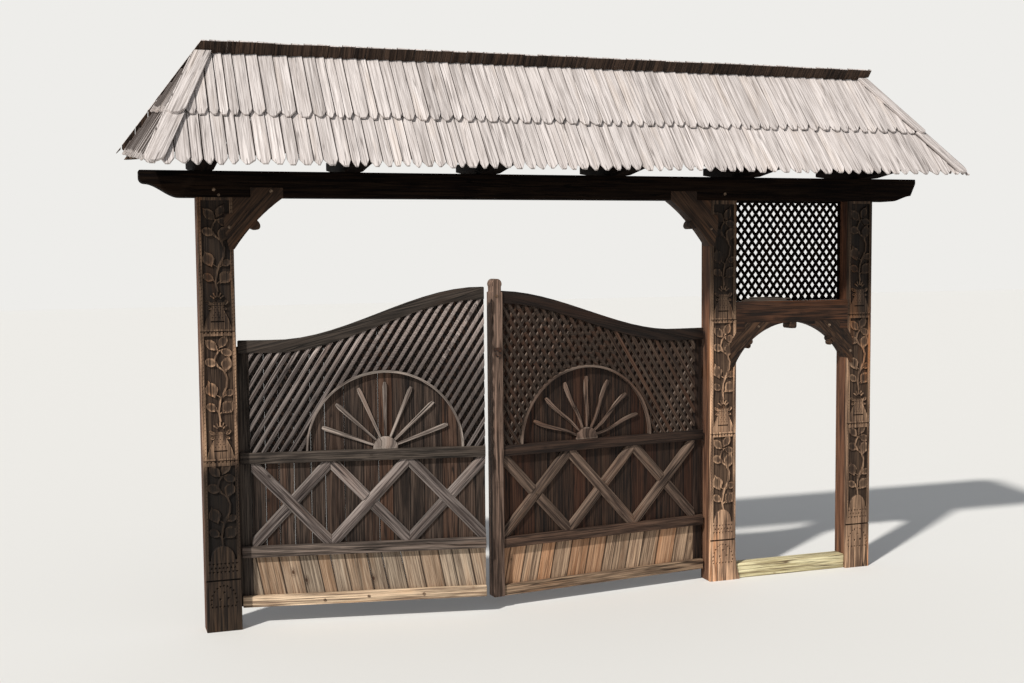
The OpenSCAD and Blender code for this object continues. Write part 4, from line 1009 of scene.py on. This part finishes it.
pegs = {
    "radius": 0.013, "proud": 0.004, "spread": (0.85, 1.15),
    "places": ((0.315, 2.050), (0.975, 2.046), (1.180, 1.829), (-3.858, 2.855),
               (-3.566, 3.106), (-3.960, 3.114), (-3.927, 3.078), (-0.111, 2.837), (0.008, 3.111)),
}
knobKit = {"radius": 0.022, "depth": 0.05, "in": 0.045, "edge": 0.007,
           "places": ((0.238, 1.896), (1.0, 1.902))}      # at the feet of the wicket's arch
ledgeKit = {"edge": 0.002,                               # thin boards on the transom, by two corners each
            "boards": (((0.175, -0.078, 0.001), (0.575, -0.05, 0.013)),
                       ((0.2, -0.074, 0.0135), (0.61, -0.052, 0.026)),
                       ((0.24, -0.076, 0.0265), (0.50, -0.056, 0.036)))}


def pegHead(x, front, z, radius):
    head = disc((x, front, z), radius, 2 * pegs["proud"], 10, "peg")
    pull(head, lambda co: co.y < front, size=(0.8, 1, 0.8), about=(x, front, z))
    return setGrain(head, (0, 1, 0))


heads = [pegHead(x, carving["face"], z, pegs["radius"] * dice.uniform(*pegs["spread"]))
         for x, z in pegs["places"]]
hand(smooth(joined(heads, "frame_pegs")), "peg", "gate_frame", "brace_wood")

knobs = []
for x, z in knobKit["places"]:
    knob = disc((x, carving["face"] + knobKit["in"], z), knobKit["radius"], knobKit["depth"], 16, "knob")
    knobs.append(setGrain(softenEdges(knob, knobKit["edge"], 3), (0, 1, 0)))
hand(smooth(joined(knobs, "arch_knobs")), "brace", "gate_frame", "brace_wood")

transomTop = Vector((0, 0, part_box("wicket_transom")[1].z))
ledges = [softenEdges(block(transomTop + Vector(low), transomTop + Vector(high)), ledgeKit["edge"], 1)
          for low, high in ledgeKit["boards"]]
hand(grained(ledges, "transom_ledges"), "leftRail", "gate_frame", "brace_wood")
print("beams finished")


# the two leaves

leafKit = {
    "stileEnd": 0.100, "curveStart": 0.300, "curveGap": 0.040,
    "topRail": 0.092, "rail": 0.080, "lowerRail": 0.361,
    "boardFront": -0.065, "boardBack": -0.040,
    "boardWidth": (0.082, 0.138), "boardGaps": (0.0, 0.001, 0.002, 0.0035),
    "boardUneven": (0.0002, 0.0022), "boardEdge": 0.0018,
    "skirtWidth": (0.085, 0.165), "skirtGaps": (0.0, 0.0003, 0.0006),
    "skirtLean": 11, "skirtSpread": (0.985, 1.015), "skirtEdge": 0.002,
    "slatPitch": 0.064, "slatAngle": math.radians(58), "slatWide": 0.030,
    "slatNarrow": 0.62, "slatRound": 0.0015, "slatSpread": (0.92, 1.05),
    "slatAside": 0.003, "slatUneven": 0.0012,
    "frontSlat": 0.018, "backSlat": 0.012,
    "sunRadius": 0.562, "sunIn": 0.727, "railEdge": 0.005,
    "left": {"ajar": -10.4, "bottom": 0.134, "mirror": 1, "length": 1.788, "end": 1.788, "height": 1.922,
             "rise": 0.360, "mid": 1.038, "stileEdge": 0.004,
             "pegs": ((0.606, 0.030, -0.105), (0.923, 0.044, -0.105), (1.323, 0.040, -0.105))},
    "right": {"ajar": 6.8, "bottom": 0.093, "mirror": -1, "length": 1.896, "end": 1.811, "height": 1.956,
              "rise": 0.333, "mid": 1.054, "stileEdge": 0.02,
              "pegs": ((1.526, 0.747, -0.091), (1.860, 2.250, -0.120))},
}


def topAt(leaf, u):      # height of a leaf's top edge at a distance from its hinge
    share = (u - leafKit["curveStart"]) / (leaf["length"] - leafKit["curveGap"] - leafKit["curveStart"])
    share = min(1.0, max(0.0, share))
    return leaf["height"] + leaf["rise"] * share * share * (3 - 2 * share)


def leafMatrix(side):      # a leaf is drawn with its hinge at u = 0 and its foot at z = 0
    leaf = leafKit[side]
    pin = next(joint["pos_m"] for joint in frame["joints"] if joint["name"] == side + "_leaf_swing")
    turn = Matrix.Rotation(math.radians(leaf["ajar"]), 4, "Z") @ Matrix.Diagonal((leaf["mirror"], 1, 1, 1))
    return Matrix.Translation((pin[0], pin[1], leaf["bottom"])) @ turn


def hang(obj, side, material, slot, *nodes):
    matrix = leafMatrix(side)
    obj.data.transform(matrix)
    if matrix.is_negative:
        obj.data.flip_normals()
    return hand(obj, material, side + "_leaf", slot, *nodes)


def hoopGrain(obj, side):      # the grain of the sunburst's hoop runs round it
    leaf, toLeaf = leafKit[side], leafMatrix(side).inverted()
    layer = obj.data.attributes["grain"]
    for i, vert in enumerate(obj.data.vertices):
        point = toLeaf @ vert.co
        across, up = point.x - leaf["end"] + leafKit["sunIn"], point.z - leaf["mid"] - leafKit["rail"]
        turned = math.atan2(up, across) * leafKit["sunRadius"]
        layer.data[i].vector = (turned, math.hypot(across, up), point.y)


def slatLayer(leaf, lean, front, thick, pattern):
    low = leaf["mid"] + leafKit["rail"] - 0.03
    way = Vector((math.cos(leafKit["slatAngle"]) * lean, 0, math.sin(leafKit["slatAngle"])))
    past = 1.4                 # slats start this far outside, for their lean
    aside, uneven = leafKit["slatAside"], leafKit["slatUneven"]
    slats = []
    u = leafKit["stileEnd"] - (past if lean > 0 else 0.0)
    while u < leaf["end"] + (0 if lean > 0 else past):
        length = 0.05
        while low + way.z * length < topAt(leaf, u + way.x * length) - leafKit["topRail"] * 0.55:
            length += 0.01
        ends = (u, u + way.x * length)
        if max(ends) > leafKit["stileEnd"] - 0.02 and min(ends) < leaf["end"] + 0.02:
            slats.append(laySlat(pattern, way, u + dice.uniform(-aside, aside),
                                 front + thick / 2 + dice.uniform(-uneven, uneven), low,
                                 dice.uniform(*leafKit["slatSpread"]), thick / leafKit["frontSlat"], length))
        u += leafKit["slatPitch"]
    layer = joined(slats, "slats")
    cutAway(layer, (leafKit["stileEnd"], 0, 0), (-1, 0, 0))
    cutAway(layer, (leaf["end"] - 0.0005, 0, 0), (1, 0, 0))
    sun = (leaf["end"] - leafKit["sunIn"], front + thick / 2, leaf["mid"] + leafKit["rail"])
    return carve(layer, disc(sun, leafKit["sunRadius"], 0.1, 96))


def leafLattice(side):
    leaf, front, back = leafKit[side], leafKit["frontSlat"], leafKit["backSlat"]
    pattern = slatPattern(leafKit["slatWide"], front, leafKit["slatNarrow"], leafKit["slatRound"])
    rear = slatLayer(leaf, -1, leafKit["boardFront"] - back, back, pattern)
    fore = slatLayer(leaf, 1, leafKit["boardFront"] - back - front, front, pattern)
    discard(pattern)
    coat(fore, side + "Slat")
    coat(rear, side + "Under")
    slats = smooth(joined([fore, rear], side + "_lattice_slats"))
    hang(slats, side, None, side + "_leaf_wood", side + "_lattice")


def leafBoards(side):
    leaf = leafKit[side]
    low = leafKit["lowerRail"] + leafKit["rail"] / 2 + 0.001
    boards = []
    u = leafKit["stileEnd"]
    while u < leaf["end"] - 0.02:
        wide = dice.uniform(*leafKit["boardWidth"])
        if leaf["end"] - u - wide < 0.06:
            wide = leaf["end"] - u
        gap = dice.choice(leafKit["boardGaps"])
        back = dice.uniform(*leafKit["boardUneven"])
        ends = [topAt(leaf, x) - leafKit["topRail"] / 2 for x in (u, u + wide)]
        board = block((u + gap / 2, leafKit["boardFront"] + back, low),
                      (u + wide - gap / 2, leafKit["boardBack"] + back / 2, ends[0]))
        middle = u + wide / 2
        pull(board, lambda co: co.z > low + 0.1 and co.x > middle, move=(0, 0, ends[1] - ends[0]))
        boards.append(softenEdges(board, leafKit["boardEdge"], 1))
        u += wide
    hang(grained(boards, side + "_boards", (0, 0, 1)), side, side + "Board", side + "_leaf_wood",
         side + "_panel_boards")


def leafSkirt(side):
    leaf = leafKit[side]
    high = leafKit["lowerRail"] + leafKit["rail"] / 2 - 0.001
    slope = math.tan(math.radians(leafKit["skirtLean"]))
    boards = []
    u = leafKit["stileEnd"]
    while u < leaf["end"] + slope * high + 0.02:
        wide = dice.uniform(*leafKit["skirtWidth"])
        gap = dice.choice(leafKit["skirtGaps"])
        board = block((u + gap / 2, leafKit["boardFront"] + 0.001, 0),
                      (u + wide - gap / 2, leafKit["boardBack"], high))
        lean = slope * high * dice.uniform(*leafKit["skirtSpread"])
        pull(board, lambda co: co.z > high / 2, move=(-lean, 0, 0))
        boards.append(setGrain(softenEdges(board, leafKit["skirtEdge"], 1), (-slope, 0, 1)))
        u += wide
    obj = joined(boards, side + "_skirt")
    cutAway(obj, (leafKit["stileEnd"] + 0.001, 0, 0), (-1, 0, 0))
    cutAway(obj, (leaf["end"] - 0.001, 0, 0), (1, 0, 0))
    hang(smooth(obj), side, side + "Skirt", "skirt_wood", side + "_skirt_boards")


for side in ("left", "right"):
    leafLattice(side)
    leafBoards(side)
    leafSkirt(side)
    body, slot = side + "_leaf", side + "_leaf_wood"
    for piece, look, edge in (
            ("hinge_stile", side + "Rail", 0.004), ("top_rail", side + "Top", 0.006),
            ("sunburst", side + "Ray", 0.003), ("rays", side + "Ray", 0.004),
            ("cross_battens", side + "Batten", 0), ("meeting_stile", "stile", leafKit[side]["stileEdge"])):
        obj = refinished(side + "_" + piece, side + "_" + piece + "_worn", look, body, slot, edge)
        if piece == "sunburst":
            hoopGrain(obj, side)
    rails = looseParts(softenEdges(takeNode(side + "_rails", side + "_rails_worn"), leafKit["railEdge"]))
    rails.sort(key=lambda obj: min(vert.co.z for vert in obj.data.vertices))
    for i, rail in enumerate(rails):      # from the lowest one up
        setGrain(rail)
        coat(rail, side + ("Sill", "Low", "Rail")[min(i, 2)])
    hand(smooth(joined(rails, side + "_rails_worn")), None, body, slot, side + "_rails")
    heads = [pegHead(u, front, z, pegs["radius"]) for u, z, front in leafKit[side]["pegs"]]
    hang(smooth(joined(heads, side + "_leaf_pegs")), side, "peg", slot)
print("leaves made")


# the hidden roof frame and the ironwork keep their own meshes

frameWays = {"front_rafters": (0, run, rise), "back_rafters": (0, -run, rise), "hip_rafters": (1, 0.4, 0.6),
             "front_laths": (1, 0, 0), "back_laths": (1, 0, 0), "hip_laths": (0, 1, 0)}
for node, direction in frameWays.items():
    finish[node] = woodMaterial(node + "_wood", woodLooks["frame"], direction)
    coat(frame["nodes"][node], node)
for node in ("left_pintles", "right_pintles", "left_hinges", "right_hinges", "right_latch"):
    coat(frame["nodes"][node], "iron")
print("frame finished")


# floor, light and camera

studio = {
    "floorSize": 120.0, "floorMiddle": (-1.4, 0, 0),
    "floorColour": paint(229, 228, 225), "floorRough": 0.9,
    "backdrop": paint(238, 237, 234),
    "skyColour": (0.82, 0.86, 0.92, 1.0),
    "skyStrength": 0.34,
    "sunWay": (-0.603, -0.454, 0.656),      # towards the sun: from the left, a little in front
    "sunStrength": 3.75,
    "sunAngle": 3.0, "sunColour": (1.0, 0.97, 0.92),
}

clearSelection()
bpy.ops.mesh.primitive_plane_add(size=studio["floorSize"], location=studio["floorMiddle"])
floor = settle(bpy.context.object)
floor.name = "floor"
floorMaterial, floorTree, floorShader = newMaterial("studio_floor")
floorShader.inputs["Base Color"].default_value = studio["floorColour"]
floorShader.inputs["Roughness"].default_value = studio["floorRough"]
floor.data.materials.append(floorMaterial)

world = bpy.data.worlds.new("studio")
bpy.context.scene.world = world
world.use_nodes = True
worldTree = world.node_tree
background = worldTree.nodes["Background"]
ray = worldTree.nodes.new("ShaderNodeLightPath")
seen = Wire(worldTree, ray.outputs["Is Camera Ray"])
for kind in ("Is Glossy Ray", "Is Transmission Ray"):
    seen = seen.math("MAXIMUM", Wire(worldTree, ray.outputs[kind]))
colour = seen.blend(studio["skyColour"], studio["backdrop"])
strength = seen * (1.0 - studio["skyStrength"]) + studio["skyStrength"]
worldTree.links.new(colour.socket, background.inputs["Color"])
worldTree.links.new(strength.socket, background.inputs["Strength"])

sunData = bpy.data.lights.new("sun", "SUN")
sunData.energy = studio["sunStrength"]
sunData.angle = math.radians(studio["sunAngle"])
sunData.color = studio["sunColour"]
sun = bpy.data.objects.new("sun", sunData)
bpy.context.scene.collection.objects.link(sun)
sun.rotation_euler = Vector(studio["sunWay"]).to_track_quat("Z", "Y").to_euler()

view = {"place": (-4.8884, -9.1217, 2.6527), "focal": 1272.26, "width": 1024,
        "yaw": 18.9353, "pitch": -3.9451, "roll": -0.4866, "sensor": 36.0, "clipEnd": 300}
cameraData = bpy.data.cameras.new("camera")
cameraData.sensor_width = view["sensor"]
cameraData.lens = view["focal"] * view["sensor"] / view["width"]
cameraData.clip_end = view["clipEnd"]
camera = bpy.data.objects.new("camera", cameraData)
bpy.context.scene.collection.objects.link(camera)
yaw, pitch, roll = (math.radians(view[k]) for k in ("yaw", "pitch", "roll"))
ahead = Vector((math.sin(yaw) * math.cos(pitch), math.cos(yaw) * math.cos(pitch), math.sin(pitch)))
level = Vector((math.cos(yaw), -math.sin(yaw), 0))
upright = level.cross(ahead)
right = level * math.cos(roll) + upright * math.sin(roll)
top = upright * math.cos(roll) - level * math.sin(roll)
turn = Matrix((right, top, -ahead)).transposed().to_4x4()
camera.matrix_world = Matrix.Translation(view["place"]) @ turn
bpy.context.scene.camera = camera
bpy.context.scene.view_settings.view_transform = "Standard"
print("studio ready")
